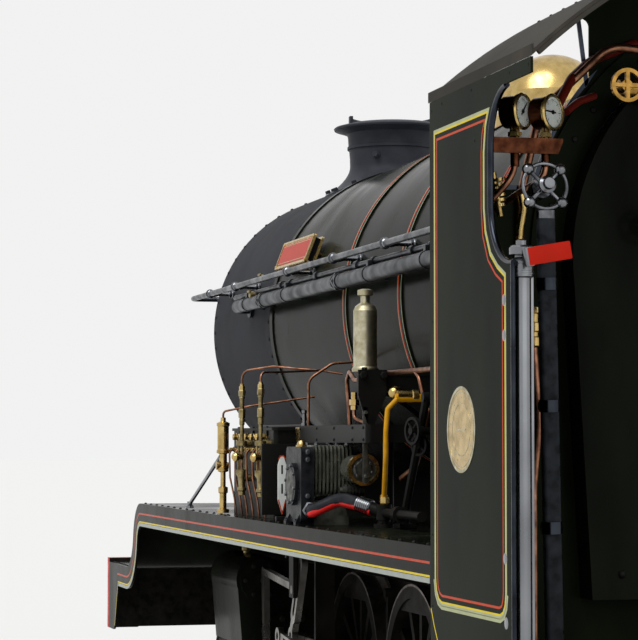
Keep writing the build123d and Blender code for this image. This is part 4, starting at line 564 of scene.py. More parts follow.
def pipe(mesh, points, radius, bend=0.0, sides=10):
    """A round pipe along points, its corners rounded to the bend radius, its ends closed."""
    path = rounded(points, bend) if bend else [Vector(p) for p in points]
    rings, side = [], None
    for i, point in enumerate(path):
        ahead = (path[min(i + 1, len(path) - 1)] - path[max(i - 1, 0)]).normalized()
        if side is None:
            side = axis_frame(point, ahead).col[0].xyz
        side = (side - ahead * side.dot(ahead)).normalized()
        other = ahead.cross(side)
        rings.append([point + radius * (cos(a) * side + sin(a) * other) for a in turns(sides)])
    skin(mesh, rings)


def block(mesh, centre, size, chamfer=1.0, turn=Matrix.Identity(4)):
    """A block with rounded edges, turned about its centre if asked."""
    made = bmesh.ops.create_cube(mesh, size=1.0)["verts"]
    matrix = Matrix.Translation(Vector(centre)) @ turn
    bmesh.ops.transform(mesh, matrix=matrix @ Matrix.Diagonal((*size, 1)), verts=made)
    edges = list({edge for vert in made for edge in vert.link_edges})
    bmesh.ops.bevel(mesh, geom=edges, offset=chamfer, segments=2, profile=0.7, affect="EDGES")


def prism(mesh, outline, place, depth, chamfer=0.0):
    """An outline of (x, y) pairs in the plane of place, pushed out by depth along its Z."""
    top = skin(mesh, [[place @ Vector((x, y, z)) for x, y in outline] for z in (0, depth)])[1]
    if chamfer:
        edges = [mesh.edges.get((top[i - 1], vert)) for i, vert in enumerate(top)]
        bmesh.ops.bevel(mesh, geom=edges, offset=chamfer, segments=2, affect="EDGES")


def stripe(mesh, path, width, place, height=0.5, closed=False, shift=0.0):
    """A flat painted line along (x, y) points in the plane of place, moved left by shift."""
    points = [Vector(p).to_2d() for p in path]
    low, high = shift - width / 2, shift + width / 2
    rings = []
    for i, point in enumerate(points):
        if closed:
            before, after = points[i - 1], points[(i + 1) % len(points)]
        else:
            before, after = points[max(i - 1, 0)], points[min(i + 1, len(points) - 1)]
        first = (point - before).normalized() if point != before else None
        second = (after - point).normalized() if point != after else None
        first, second = first or second, second or first
        ahead = (first + second).normalized()
        across = Vector((-ahead.y, ahead.x)) / max(0.3, ahead.dot(first))
        rings.append([
            place @ Vector((point.x + k * across.x, point.y + k * across.y, h))
            for k, h in ((low, 0), (low, height), (high, height), (high, 0))
        ])
    skin(mesh, rings, closed)


def bolt(mesh, origin, direction, flats, washer=True):
    """A hexagon head of the given width across flats, on its washer."""
    reach = flats / sqrt(3)
    if washer:
        turned(mesh, origin, direction, [(0, reach * 1.2), (flats * 0.14, reach * 1.15)], 14)
    head = [(flats * 0.1, reach), (flats * 0.62, reach), (flats * 0.74, reach * 0.8)]
    turned(mesh, origin, direction, head, 6)


def bolt_circle(mesh, centre, way, radius, around, flats, washer=True):
    """Bolts at the given angles round a centre, in the plane across a main axis."""
    first, second = (axis for axis in range(3) if not way[axis])
    for turn in around:
        spot = Vector(centre)
        spot[first] += radius * cos(turn)
        spot[second] += radius * sin(turn)
        bolt(mesh, spot, way, flats, washer)


def rivet(mesh, origin, direction, radius):
    """A round-headed rivet."""
    head = [(0, 1), (0.4, 0.86), (0.68, 0.5), (0.78, 0)]
    turned(mesh, origin, direction, [(radius * a, radius * r) for a, r in head], 10)


def shape(mesh, rows):
    """Run each row, a form and what it takes after the mesh, and the rows of inner lists."""
    for row in rows:
        if isinstance(row, list):
            shape(mesh, row)
        else:
            form, *inputs = row
            form(mesh, *inputs)


def piece(name, paint, rows, body=BODY, sharp=38):
    """Make one piece from rows of a form and its inputs, paint it and ride it on its body."""
    mesh = bmesh.new()
    shape(mesh, rows)
    bmesh.ops.recalc_face_normals(mesh, faces=mesh.faces)
    mesh.transform(Matrix.Scale(MM, 4))
    data = bpy.data.meshes.new(name)
    mesh.to_mesh(data)
    mesh.free()
    data.materials.append(PAINTS[paint])
    data.shade_smooth()
    data.set_sharp_from_angle(angle=radians(sharp))
    made = bpy.data.objects.new(name, data)
    bpy.context.scene.collection.objects.link(made)
    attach(made, body)
    return made


# Outline of the cab side's cut-out: ends of its straights and middles of its arcs, (x, z)
CUT_SILL = ((-1781, 1027), (-1709, 1053), (-1677, 1117))
CUT_HEAD = ((-1677, 1198), (-1699, 1262), (-1752, 1288))

# The two painted frames on the cab side, as (x, z) corners
OUTER_LINE = [
    (-1444, 517), (-1427, 522), (-1415, 535), (-1409, 556), (-1409, 1261), (-1684, 1261),
    (-1669, 1238), (-1661, 1200), (-1661, 1117), (-1668, 1082), (-1690, 1048), (-1722, 1027),
    (-1757, 1012), (-1757, 552), (-1753, 534), (-1743, 522), (-1728, 517),
]
INNER_LINE = [
    (-1446, 531), (-1433, 535), (-1425, 545), (-1423, 560), (-1423, 1247), (-1664, 1247),
    (-1652, 1228), (-1647, 1198), (-1647, 1117), (-1654, 1075), (-1678, 1038), (-1712, 1015),
    (-1743, 1002), (-1743, 556), (-1741, 543), (-1735, 534), (-1724, 531),
]


def side_place(side, y):
    """The plane of a side sheet: x along the locomotive, y up, z outwards."""
    return Matrix(((1, 0, 0, 0), (0, 0, side, side * y), (0, 1, 0, 0), (0, 0, 0, 1)))


def across_place(x):
    """A plane across the locomotive that faces backwards: x to the left, y up."""
    return Matrix(((0, 0, -1, x), (1, 0, 0, 0), (0, 1, 0, 0), (0, 0, 0, 1)))


def arc_through(first, middle, last, steps=10):
    """Points on the arc through three (x, y) points, ends included."""
    (ax, ay), (bx, by), (cx, cy) = first, middle, last
    scale = 2 * (ax * (by - cy) + bx * (cy - ay) + cx * (ay - by))
    a2, b2, c2 = ax * ax + ay * ay, bx * bx + by * by, cx * cx + cy * cy
    ox = (a2 * (by - cy) + b2 * (cy - ay) + c2 * (ay - by)) / scale
    oy = (a2 * (cx - bx) + b2 * (ax - cx) + c2 * (bx - ax)) / scale
    start, mid, end = (atan2(y - oy, x - ox) for x, y in (first, middle, last))
    turn = (end - start) % (2 * pi)
    if (mid - start) % (2 * pi) > turn:
        turn -= 2 * pi
    return arc((ox, oy), hypot(ax - ox, ay - oy), start, start + turn, steps)


def deck_line(drop, *ends):
    """A line the given distance below the deck, down the front step, then to its ends."""
    radius, low_x, low_z = 107.1, 1451.0, 429.0
    return [
        (-1380, DECK_Z - drop),
        *arc((1240, DECK_Z - radius), radius - drop, pi / 2, radians(10), 10),
        *arc((low_x, low_z + radius), radius + drop, radians(-170), -pi / 2, 10),
        *ends,
    ]


def build_lining(context):
    """Lines of the cab sides, edge plates and beam, in flat strips of paint."""
    wide = context.scene.loco_sizes.line_width / MM
    thin = 0.15
    foot = OUTER_LINE[3::-1] + OUTER_LINE[:-5:-1]
    front_curve = [(-1387, 508), (-1403, 483), (-1423, 458), (-1452, 431)]
    corner = [(1734, 369), (1734, 244), (1662, 244), (1646, 251), (1638, 262), (1592, 369)]
    for name, side in SIDES:
        sheet = side_place(side, SIDE_Y)
        piece(f"cab_pale_line_{name}", "cream", [
            (stripe, OUTER_LINE, wide * 0.6, sheet, thin, True),
            (stripe, foot, wide * 0.8, sheet, thin, False, wide * 0.6),
        ])
        piece(f"cab_yellow_line_{name}", "yellow", [
            (stripe, OUTER_LINE, wide * 0.4, sheet, thin, True, wide * 0.5),
            (stripe, deck_line(48.5, (1586, 380.5), (1640, 256)), 3.5, sheet, thin),
            (stripe, front_curve, 3, sheet, thin),
        ])
        piece(f"cab_red_line_{name}", "orange", [
            (stripe, INNER_LINE, wide * 0.5, sheet, thin, True),
            (stripe, deck_line(27, (1600, 402)), 4, sheet, thin),
        ])
        piece(f"deck_grey_line_{name}", "grey_line", [
            (stripe, deck_line(55.5, (1580, 373.5)), 8.5, sheet, thin),
        ])
        # Plate behind the beam's end, which closes the corner under the platform
        piece(f"beam_corner_plate_{name}", "black", [
            (prism, corner, side_place(side, 594), 6),
        ])
        piece(f"beam_end_{name}", "beam", [
            (block, (1750, side * 558, 341.5), (30.8, 84, 197), 1.2),
        ])
    front = across_place(1765) @ Matrix.Rotation(pi, 4, "Y")
    border = [(-584, 262), (-584, 420), (584, 420), (584, 262), (566, 257), (-566, 257)]
    piece("beam_front_line", "cream", [(stripe, border, 5, front, 0.7, True)])


class LOCO_OT_lining(bpy.types.Operator):
    """Line out the cab sides, the edge plates and the buffer beam"""

    bl_idname = "loco.lining"
    bl_label = "Painted lines"

    def execute(self, context):
        build_lining(context)
        return {"FINISHED"}


def build_bands():
    """Painted rings on the boiler bands, and the strip over the firebox."""
    for paint, rings in (("orange", ((19.0, 25.5),)), ("cream", ((0.8, 3.0), (26.4, 27.6)))):
        piece(f"band_rings_{paint}", paint, [
            (collar, (rear, 0, BOILER_Z), AHEAD, start, end, 383.2, 383.7, 128)
            for rear in (-54, -479) for start, end in rings
        ])

    def strap(start, end, low, high):
        """A strip over the firebox, from one running plate to the other."""
        return skin, [
            [(start, *inner), (end, *inner), (end, *outer), (start, *outer)]
            for inner, outer in zip(*(arc((0, BOILER_Z), r, 0, pi, 64) for r in (low, high)))
        ]

    piece("firebox_band", "black", [strap(-999, -975, 380.2, 382.6)])
    piece("firebox_band_lines", "orange", [
        strap(-996, -992.5, 382.5, 383.0), strap(-981.5, -978, 382.5, 383.0),
    ])


class LOCO_OT_bands(bpy.types.Operator):
    """Paint the red and pale rings on the boiler bands"""

    bl_idname = "loco.bands"
    bl_label = "Boiler band rings"

    def execute(self, context):
        build_bands()
        return {"FINISHED"}


def build_nameplate():
    """Blank red field and brass rim, leaning back on the boiler's side."""
    lean = radians(21)
    out = Vector((0, cos(lean), sin(lean)))
    up = Vector((0, -sin(lean), cos(lean)))
    middle = Vector((397, 0, BOILER_Z)) + 414 * out
    face = Matrix((Vector(BACK), up, out)).transposed().to_4x4()
    face.translation = middle

    def field(x, y):
        return [(-x, -y), (x, -y), (x, y), (-x, y)]

    piece("nameplate_field", "plate_red", [(prism, field(139, 26), face, 0.8, 0.3)])
    piece("nameplate_rim", "brass", [
        [
            (stripe, field(148 - inset, 35 - inset), wide, face, high, True)
            for inset, wide, high in ((3.2, 5.0, 1.8), (13.0, 1.6, 1.2))
        ],
        [(rivet, face @ Vector((x, y, 0.8)), out, 4) for x in (-141, 141) for y in (-28, 28)],
    ], sharp=30)
    deep = face @ Matrix.Translation((0, 0, -18.5))
    edge = [(141.2, -28), (142.4, -28), (142.4, 28), (141.2, 28)]
    piece("nameplate_core_ends", "ink", [
        (prism, [(s * x, y) for x, y in edge], deep, 13.5) for s in (-1, 1)
    ])


class LOCO_OT_nameplate(bpy.types.Operator):
    """Give the nameplate its red field, polished rim and screws"""

    bl_idname = "loco.nameplate"
    bl_label = "Nameplate"

    def execute(self, context):
        build_nameplate()
        return {"FINISHED"}


def chimney_rings():
    """Sections round the chimney: thin brim, waist and a skirt down onto the smokebox."""
    flare, seat_r, sole_r = 64.5, 380.5, 378.6
    wall = [
        (84, 1345), (84, 1590), (104, 1590), (113, 1589), (147, 1580), (150.5, 1577),
        (149, 1573), (132, 1568), (118, 1563), (114, 1556), (112.5, 1531), (115.5, 1530),
        (115.5, 1523), (111, 1521.5), (109, 1500), (108.5, 1480),
    ]
    waist_r, waist_z = wall[-1]

    def height(radius, turn, smokebox_r):
        return BOILER_Z + sqrt(smokebox_r ** 2 - (radius * sin(turn)) ** 2)

    for turn in turns(96):
        section = list(wall)
        for step in range(1, 11):
            lean = step / 10 * pi / 2
            radius = waist_r + flare * (1 - cos(lean))
            seat = height(radius, turn, seat_r)
            section.append((radius, seat + (waist_z - seat) * (1 - sin(lean))))
        section += [(radius, height(radius, turn, sole_r)) for radius in (173, 84)]
        yield [(*polar(radius, turn, (CHIMNEY_X, 0)), z) for radius, z in section]


def build_boiler():
    """Rivets, door dogs, chimney, pipe unions, rail collars, cocks and brass rings."""
    # Radii of the smokebox's rivets, the bolts round the chimney's foot, the skirt under them,
    # the rivets of the door ring and the dogs that hold the door
    wrapper_r, foot_r, skirt_r, ring_r, dogs_r = 377.6, 164, 382, 350, 306
    axis = Vector((SMOKEBOX_FACE_X, 0, BOILER_Z))
    radial = {count: [Vector((0, cos(t), sin(t))) for t in turns(count)] for count in (28, 56)}
    seats = [polar(foot_r, turn, (CHIMNEY_X, 0)) for turn in turns(14)]
    piece("smokebox_rivets", "smokebox", [
        [
            (rivet, Vector((x, 0, BOILER_Z)) + out * wrapper_r, out, 5)
            for x in (1338, 700) for out in radial[56] if out.z >= -0.82  # above the saddle
        ],
        [
            (bolt, (x, y, sqrt(skirt_r ** 2 - y ** 2) + BOILER_Z - 0.5), (0, y / 380, 1), 12)
            for x, y in seats
        ],
        [(rivet, axis + Vector((-0.4, 0, 0)) + out * ring_r, AHEAD, 5) for out in radial[28]],
    ])
    dogs = []
    for turn in turns(12, pi / 12):
        # None beside the hinge
        if cos(turn) >= -0.75:
            spot = axis + Vector((0, *polar(dogs_r, turn)))
            tilt = Matrix.Rotation(turn - pi / 2, 4, "X")
            dogs += [
                (block, spot + Vector((9, 0, 0)), (16, 20, 26), 2, tilt),
                (bolt, spot + Vector((16, 0, 0)), AHEAD, 15),
            ]
    piece("door_dogs", "dark_bolt", dogs)

    # Stands for the solid, whose foot is a plain drum where the real one flares, and adds the
    # wind shield round the front half of the brim
    shield = [
        [
            (*polar(radius, -pi / 2 + pi * i / 36, (CHIMNEY_X, 0)), z)
            for radius, z in ((104, 1586), (112, 1586), (112, 1609), (104, 1609))
        ]
        for i in range(37)
    ]
    made = piece("chimney_casting", "chimney", [
        (skin, list(chimney_rings()), True),
        (skin, shield),
        (bolt, (CHIMNEY_X - 92, 68, 1500), (-0.8, 0.6, 0), 14),
    ], sharp=30)
    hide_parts("chimney")

    unions = [
        (collar, (x + start, SIDE_PIPE_Y, SIDE_PIPE_Z), AHEAD, 0, 11, 15.5, radius, sides)
        for x in (552, -160, -1010)
        for start, radius, sides in ((0, 18, 20), (13, 20.5, 6), (32, 18, 20))
    ]
    for x in (740, 330, -380, -780, -1200):
        unions += [
            (collar, (x, SIDE_PIPE_Y, SIDE_PIPE_Z), AHEAD, 0, 12, 15.5, 17.5, 20),
            (block, (x + 8, SIDE_PIPE_Y, 1130), (14, 8, 12), 1),
            (collar, (x, 408, 1135), AHEAD, 0, 16, 5.5, 9, 14),
            (pipe, [(x + 8, 408, SIDE_PIPE_Z), (x + 8, 376, 1100)], 6),
        ]
    piece("pipe_unions", "pipe", unions)

    foot = [(0, 10), (5, 10.5), (8, 8), (14, 6), (40, 5.4), (48, 7.5), (54, 9)]
    sleeve = [(0, 7.1), (22, 7.1), (20, 9.6), (2, 9.6)]
    piece("rail_collars", "steel", [
        [
            (turned, (x, side * 366, HANDRAIL_Z), (0, side, 0), foot, 18),
            (hoop, (x - 11, side * 430, HANDRAIL_Z), AHEAD, sleeve, 20),
        ] for x in (1155, 845, 289, -126, -527, -1005) for side in (1, -1)
    ])

    cock = [(0, 6), (10, 6), (11, 9), (20, 9), (22, 5)]
    piece("blower_cocks", "old_brass", [
        [(turned, (x, y - 22, z), LEFT, cock, 14), (block, (x, y, z + 8), (26, 5, 6), 1.5)]
        for x, y, z in ((640, 415, 1166), (690, 430, 1128))
    ])

    rings = [(hoop, (-300, 0, 1466), UP, [(-4, 111), (0, 115.5), (4, 111)], 72)]
    lip = [(-5, 23.5), (-3, 27), (5, 27), (6, 23.5)]
    for y in (-45, 45):
        rings += [
            (hoop, (-1120, y, 1462), UP, [(-4, 23.5), (-4, 28), (4, 28), (4, 23.5)], 32),
            (hoop, (-1120, y, 1500), UP, lip, 32),
            (turned, (-1120, y, 1538), UP, [(0, 15), (4, 12), (6, 5), (12, 4), (13, 0)], 18),
            (bolt, (-1154, y, 1456), UP, 10),
            (bolt, (-1086, y, 1456), UP, 10),
        ]
    piece("dome_and_valve_rings", "brass", rings, sharp=30)


class LOCO_OT_boiler(bpy.types.Operator):
    """Fit the rivets, unions and clamps of the smokebox, boiler, rails and chimney"""

    bl_idname = "loco.boiler_details"
    bl_label = "Boiler and chimney details"

    def execute(self, context):
        build_boiler()
        return {"FINISHED"}


def build_cab_sides():
    """Beading, blank oval plates, studs and rivets of both sides, roof strips and windows."""
    path = arc_through(*CUT_SILL) + arc_through(*CUT_HEAD)
    plate = (-1546, 789)

    def oval(inset, count=64):
        return [
            (plate[0] + (70 - inset) * cos(t), plate[1] + (66 - inset) * sin(t))
            for t in turns(count)
        ]

    for name, side in SIDES:
        out = (0, side, 0)
        sheet = side_place(side, SIDE_Y)
        y = side * 597.2
        piece(f"cut_out_beading_{name}", "beading", [
            (pipe, [(x, side * 595.2, z) for x, z in path], 5, 0, 12),
            (pipe, [(-1781, side * 597, 1027), (-1781, side * 597, 366)], 3.4),
        ], sharp=60)
        # Blank oval plate: polished rim, a raised band of beads, a bar with two screws
        piece(f"works_plate_{name}", "brass", [(prism, oval(0), sheet, 0.2)], sharp=30)
        piece(f"works_plate_relief_{name}", "plate_brass", [
            [
                (stripe, oval(inset), wide, sheet, high, True)
                for inset, wide, high in ((2.5, 5.0, 0.8), (8.5, 1.6, 0.5), (26.0, 1.6, 0.5))
            ],
            [
                (rivet, (x, side * 598.3, z), out, 3.2 if i % 2 else 2.4)
                for i, (x, z) in enumerate(oval(17, 36))
            ],
            (stripe, [(-1569, 789), (-1523, 789)], 2.4, sheet, 0.6),
            [(rivet, (x, side * 597.5, 789), out, 4.2) for x in (-1566, -1526)],
        ], sharp=30)
        stud = [(0, 11), (2.2, 11), (3.0, 8), (3.6, 4), (3.8, 0)]
        piece(f"cab_studs_{name}", "steel", [
            (turned, (x, y, z), out, stud, 18)
            for x, z in ((-1750, 975), (-1750, 924), (-1752, 603), (-1755, 511))
        ])
        spots = (-1616, 1222), (-1777, 1301), (-1860, 1301), (-1600, 1301), (-1450, 1301)
        piece(f"cab_rivets_{name}", "cab_black", [
            [(rivet, (x, y, z), out, 4.5) for x, z in spots],
            [(rivet, (-1396, side * 597.9, 400 + i * 112), out, 3.6) for i in range(9)],
        ])

    roof, half_turn = (0, ROOF_AXIS_Z), 0.742
    edges = list(zip(*(
        arc(roof, radius, pi / 2 + half_turn, pi / 2 - half_turn, 40) for radius in (874.6, 868)
    )))
    strips = [
        (skin, [[(x - 4, *a), (x + 4, *a), (x + 4, *b), (x - 4, *b)] for a, b in edges])
        for x in (-1381, -1871)
    ]
    for y in (-420, -210, 0, 210, 420):
        lean = asin(y / 880)
        spot = (879.6 * sin(lean), ROOF_AXIS_Z + 879.6 * cos(lean) - 0.4)
        strips += [
            (rivet, (-1400 - i * 57, *spot), (0, sin(lean), cos(lean)), 3.2) for i in range(9)
        ]
    piece("roof_strips", "roof", strips)

    # From the inner arc over the backhead to the arc under the roof
    window = [
        *arc((0, BOILER_Z), 444, 0.262, 0.752, 12), (336, 1352),
        *arc(roof, 860, pi / 2 - 0.3895, pi / 2 - 0.6245, 8)[1:], (507, 1180), (437, 1178),
    ]
    piece("window_frames", "beading", [
        (stripe, [(side * x, z) for x, z in window], 7, across_place(-1389), 3, True)
        for side in (1, -1)
    ])


class LOCO_OT_cab_sides(bpy.types.Operator):
    """Bead the cut-outs and fit the blank oval plates, studs and roof strips"""

    bl_idname = "loco.cab_sides"
    bl_label = "Cab side fittings"

    def execute(self, context):
        build_cab_sides()
        return {"FINISHED"}


def build_deck():
    """Lubricators, pumps, copper pipes, valves, plates and rivets of the running plate."""
    oiler = [
        (0, 14), (8, 14), (10, 8), (44, 8), (46, 11), (58, 11), (60, 6), (92, 6), (94, 12),
        (104, 13), (106, 9), (134, 9), (136, 15), (142, 15), (144, 13), (196, 13), (198, 15),
        (204, 15), (208, 6), (216, 6), (218, 0),
    ]
    valve = [(-16, 0), (-14, 8), (-6, 13), (6, 13), (12, 9), (18, 9), (20, 6), (22, 0)]
    union = [(0, 7), (14, 7), (15, 10), (20, 10), (24, 6)]
    dome = [(0, 11), (4, 11), (5, 9), (9, 8), (13, 5), (14, 0)]
    piece("deck_brasses", "brass", [
        # Displacement oiler ahead of the oil box
        (turned, (322, 572, 608), UP, oiler, 20),
        (turned, (322, 560, 716), LEFT, [(0, 7), (20, 7), (22, 10), (28, 10)], 16),
        [
            [
                (turned, (x, PUMPS_Y, 884), UP, [(0, 7), (8, 7), (10, 4.5), (14, 4.5)], 6),
                (turned, (x, PUMPS_Y, 736), (-0.4, 1, 0), union, 14),
            ] for x in PUMPS_X
        ],
        # Hexagon caps and gland nuts along the oil box's face
        [
            [
                (bolt, (x, 540, 780), LEFT, 14),
                (turned, (x, 540, 752), LEFT, [(0, 6), (9, 6), (10, 4), (18, 4)], 12),
            ] for x in range(318, 0, -58)
        ],
        # Domed cap on the compressor's crankcase, its filler and a valve
        (turned, (-420, 572, 759), UP, dome, 18),
        (turned, (-517, 490, 832), UP,
         [(0, 7), (8, 7), (9, 10), (20, 10), (21, 6), (34, 6)], 6),
        (turned, (-632, 438, 863), (-0.8, 0.6, 0), valve, 18),
        # Unions at both ends of the amber pipe
        (turned, (-606, 455, 650.5), UP,
         [(0, 7.6), (2, 10), (14, 10), (15, 7.6), (19, 7.4)], 6),
        (turned, (-660, 404, 858), LEFT, [(0, 11), (10, 11), (12, 9), (40, 9)], 12),
        (hoop, (-541, 477, 716), AHEAD,
         [(0, 25), (0, 31.5), (9, 31.5), (9, 30.2), (2, 25)], 40),
        # Cap strip at the front end of the tank
        (block, (-98, 500.6, 785), (34, 1.6, 30), 0.5),
    ])

    # Turned columns with two posts between the flanges. They stand for the solid, which has
    # a plain slab behind each column.
    foot = [
        (652, 7), (660, 7), (662, 10), (668, 10), (670, 7.4), (690, 8), (697, 12.8),
        (708, 12.8), (709, 4),
    ]
    head = [
        (761, 4), (761, 12.8), (771, 12.8), (773, 4.4), (806, 4.4), (808, 6), (820, 6),
        (822, 5),
    ]
    pumps = []
    for x in PUMPS_X:
        base = (x, PUMPS_Y, 0)
        pumps += [
            (turned, base, UP, foot, 24),
            [(pipe, [(x, PUMPS_Y + off, 707), (x, PUMPS_Y + off, 763)], 1.9) for off in (-8, 8)],
            (pipe, [(x, PUMPS_Y, 708), (x, PUMPS_Y, 762)], 2.4),
            (turned, base, UP, head, 24),
            (turned, (x, PUMPS_Y, 822), UP, [(0, 7.4), (2, 8.2), (18, 8.2), (20, 7)], 6),
            (turned, base, UP, [(842, 5), (864, 5), (865, 6.4), (868, 6.4), (870, 5)], 20),
            (turned, (x, PUMPS_Y, 870), UP, [(0, 7.4), (1.5, 8.4), (12, 8.4), (14, 7)], 6),
            [(turned, (x, 540, z), LEFT, [(0, 8), (18, 8)], 16) for z in (690, 766)],
        ]
    made = piece("oil_pump_columns", "old_brass", pumps)
    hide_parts("oil_pumps")

    piece("copper_pipes", "copper", [
        [(pipe, *route) for route in (
            ([(169, 562, 890), (169, 562, 926), (128, 500, 936), (96, 452, 930)], 2.4, 22),
            ([(96, 452, 930), (70, 408, 926), (52, 362, 918)], 2.4, 12),
            ([(-17, 562, 890), (-17, 562, 918), (44, 498, 921), (70, 408, 926)], 2.4, 20),
            ([(322, 572, 822), (322, 572, 838), (280, 520, 850), (262, 372, 872)], 2.4, 18),
            ([(-158, 492, 802), (-158, 492, 900), (-158, 440, 934), (-158, 356, 940)], 3, 26),
            ([(-534, 480, 890), (-500, 484, 890), (-452, 482, 908), (-410, 476, 892),
              (-404, 470, 840), (-404, 468, 803)], 4.5, 18),
            ([(-590, 444, 902), (-760, 440, 902), (-1386, 440, 902)], 5, 30),
            ([(-760, 440, 902), (-790, 440, 890), (-800, 436, 860), (-800, 420, 830),
              (-800, 370, 826)], 4, 16),
            ([(-517, 490, 834), (-517, 490, 818), (-530, 486, 812), (-560, 480, 806),
              (-560, 478, 803)], 3.5, 8),
            ([(-640, 430, 700), (-690, 420, 720), (-712, 410, 770), (-716, 400, 830),
              (-716, 374, 850)], 6, 24),
        )],
        # Feeds from the oil box down through the deck
        [
            (pipe, [(x, 556, 752), (x, 562, 744), (x - 6, 562, 690), (x - 10, 552, 640),
                    (x - 10, 548, 607)], 2.2, 12, 8)
            for x in (300, 240, 184, 126, 66, 8)
        ],
    ], sharp=60)

    knob = [(0, 6), (6, 6), (7, 4), (26, 4), (27, 5.5), (33, 5.5), (35, 0)]
    piece("deck_steel_rods", "steel", [
        (pipe, [(322, 578, 736), (640, 586, 620)], 4.5),
        (turned, (640, 586, 610), UP, [(0, 10), (6, 10), (8, 6), (16, 6)], 14),
        (turned, (-98, 486, 803), UP, knob, 14),
    ])

    place = across_place(-262)
    raised = place @ Matrix.Translation((0, 0, 2.2))
    strip = [(571, 742), (565, 722), (565, 652), (574, 622), (583, 652), (583, 722), (577, 742)]
    piece("pointed_strip", "dial", [(prism, strip, place, 2.4, 0.5)], sharp=20)
    piece("pointed_strip_edge", "orange", [
        (stripe, [(566.5, 734), (571, 741), (577, 741), (581.5, 734)], 2.4, raised, 0.6),
        (stripe, [(566.2, 652), (574, 624.5), (581.8, 652)], 2.4, raised, 0.6),
    ])
    # Black strips painted where the two slots open: painted shade in place of openings
    piece("pointed_strip_slot_shade", "ink", [
        (stripe, [(574, low), (574, high)], 3.4, raised, 0.3)
        for low, high in ((704, 722), (664, 684))
    ])

    # Plate on the shelf's rear face, then the lower stand of the valve spindle, the oil box
    # lid hinge and catches, and the guard plate behind them
    plate = [
        (504, 908), (504, 858), (488, 806), (482, 798), (474, 798), (466, 818), (447, 862),
        (447, 908),
    ]
    iron = [
        (block, (-262, 574, 612), (12, 26, 12), 2),
        (prism, plate, across_place(-595), 5, 1),
        [(bolt, (-599.5, y, 898), BACK, 13) for y in (495, 454)],
        (pipe, [(-812, 432, 852), (-672, 430, 650), (-664, 430, 612)], 8, 10, 8),
        (block, (-664, 430, 611), (40, 34, 9), 2),
        (turned, (-812, 366, 852), LEFT, [(0, 16), (10, 16), (12, 9), (74, 9)], 16),
        (pipe, [(352, 474, 803), (-42, 474, 803)], 4.5),
        [(block, (x, 541, 792), (20, 5, 22), 1.5) for x in (290, 155, 20)],
        (block, (-68, 528, 690), (8, 88, 150), 1.5),
    ]
    # Valve wheels with their spindles towards the boiler
    for x, y, z, lean, reach in (
        (-790, 452, 790, 0.25, 24), (-752, 428, 764, 0.5, 19), (-884, 430, 720, 0.3, 20)
    ):
        out = Vector((-sin(lean), cos(lean), 0))
        hub = Vector((x, y, z))
        wheel = axis_frame(hub, out)
        spindle = [(0, 12), (12, 12), (14, 7), (y - 392, 7), (y - 390, 9), (y - 362, 7)]
        iron += [
            (collar, hub, out, -3, 3, reach - 3, reach + 2, 28),
            [
                (pipe, [hub, wheel @ Vector((*polar(reach, turn), 0))], 2.6, 0, 8)
                for turn in turns(4, pi / 4)
            ],
            (turned, hub - out * (y - 368), out, spindle, 14),
        ]
    # Bolts of the shelf, of the tank, of the elbow's flange and of the compressor's feet
    piece("deck_ironwork", "iron", [
        *iron,
        [(bolt, (x, 488, 905), UP, 11) for x in (-540, -584)],
        [
            (rivet, (x, 499.6, z), LEFT, 3.5)
            for x in (-120, -260, -400, -540, -620) for z in (797, 774)
        ],
        (bolt_circle, (-606, 455, 612.6), UP, 16, turns(3, 0.4), 6),
        [(bolt, (x, 588, 612.6), UP, 9) for x in (-448, -368)],
    ])
    piece("hanging_strip", "alloy", [
        (block, (-598, 490, 764), (4, 10, 146), 1),
        [(bolt, (-600, 490, z), BACK, 7, False) for z in (704, 826)],
    ])
    piece("deck_rivets", "dark_bolt", [
        (rivet, (start + i * step, side * 588, z), UP, radius)
        for start, step, z, radius, count in (
            (1225, -80, 605.7, 4, 33), (1470, 21, 428.7, 3.4, 13),
        ) for i in range(count) for side in (1, -1)
    ])


class LOCO_OT_deck(bpy.types.Operator):
    """Fit the lubricators, valves and plates that stand on the left running plate"""

    bl_idname = "loco.deck"
    bl_label = "Deck fittings"

    def execute(self, context):
        build_deck()
        return {"FINISHED"}


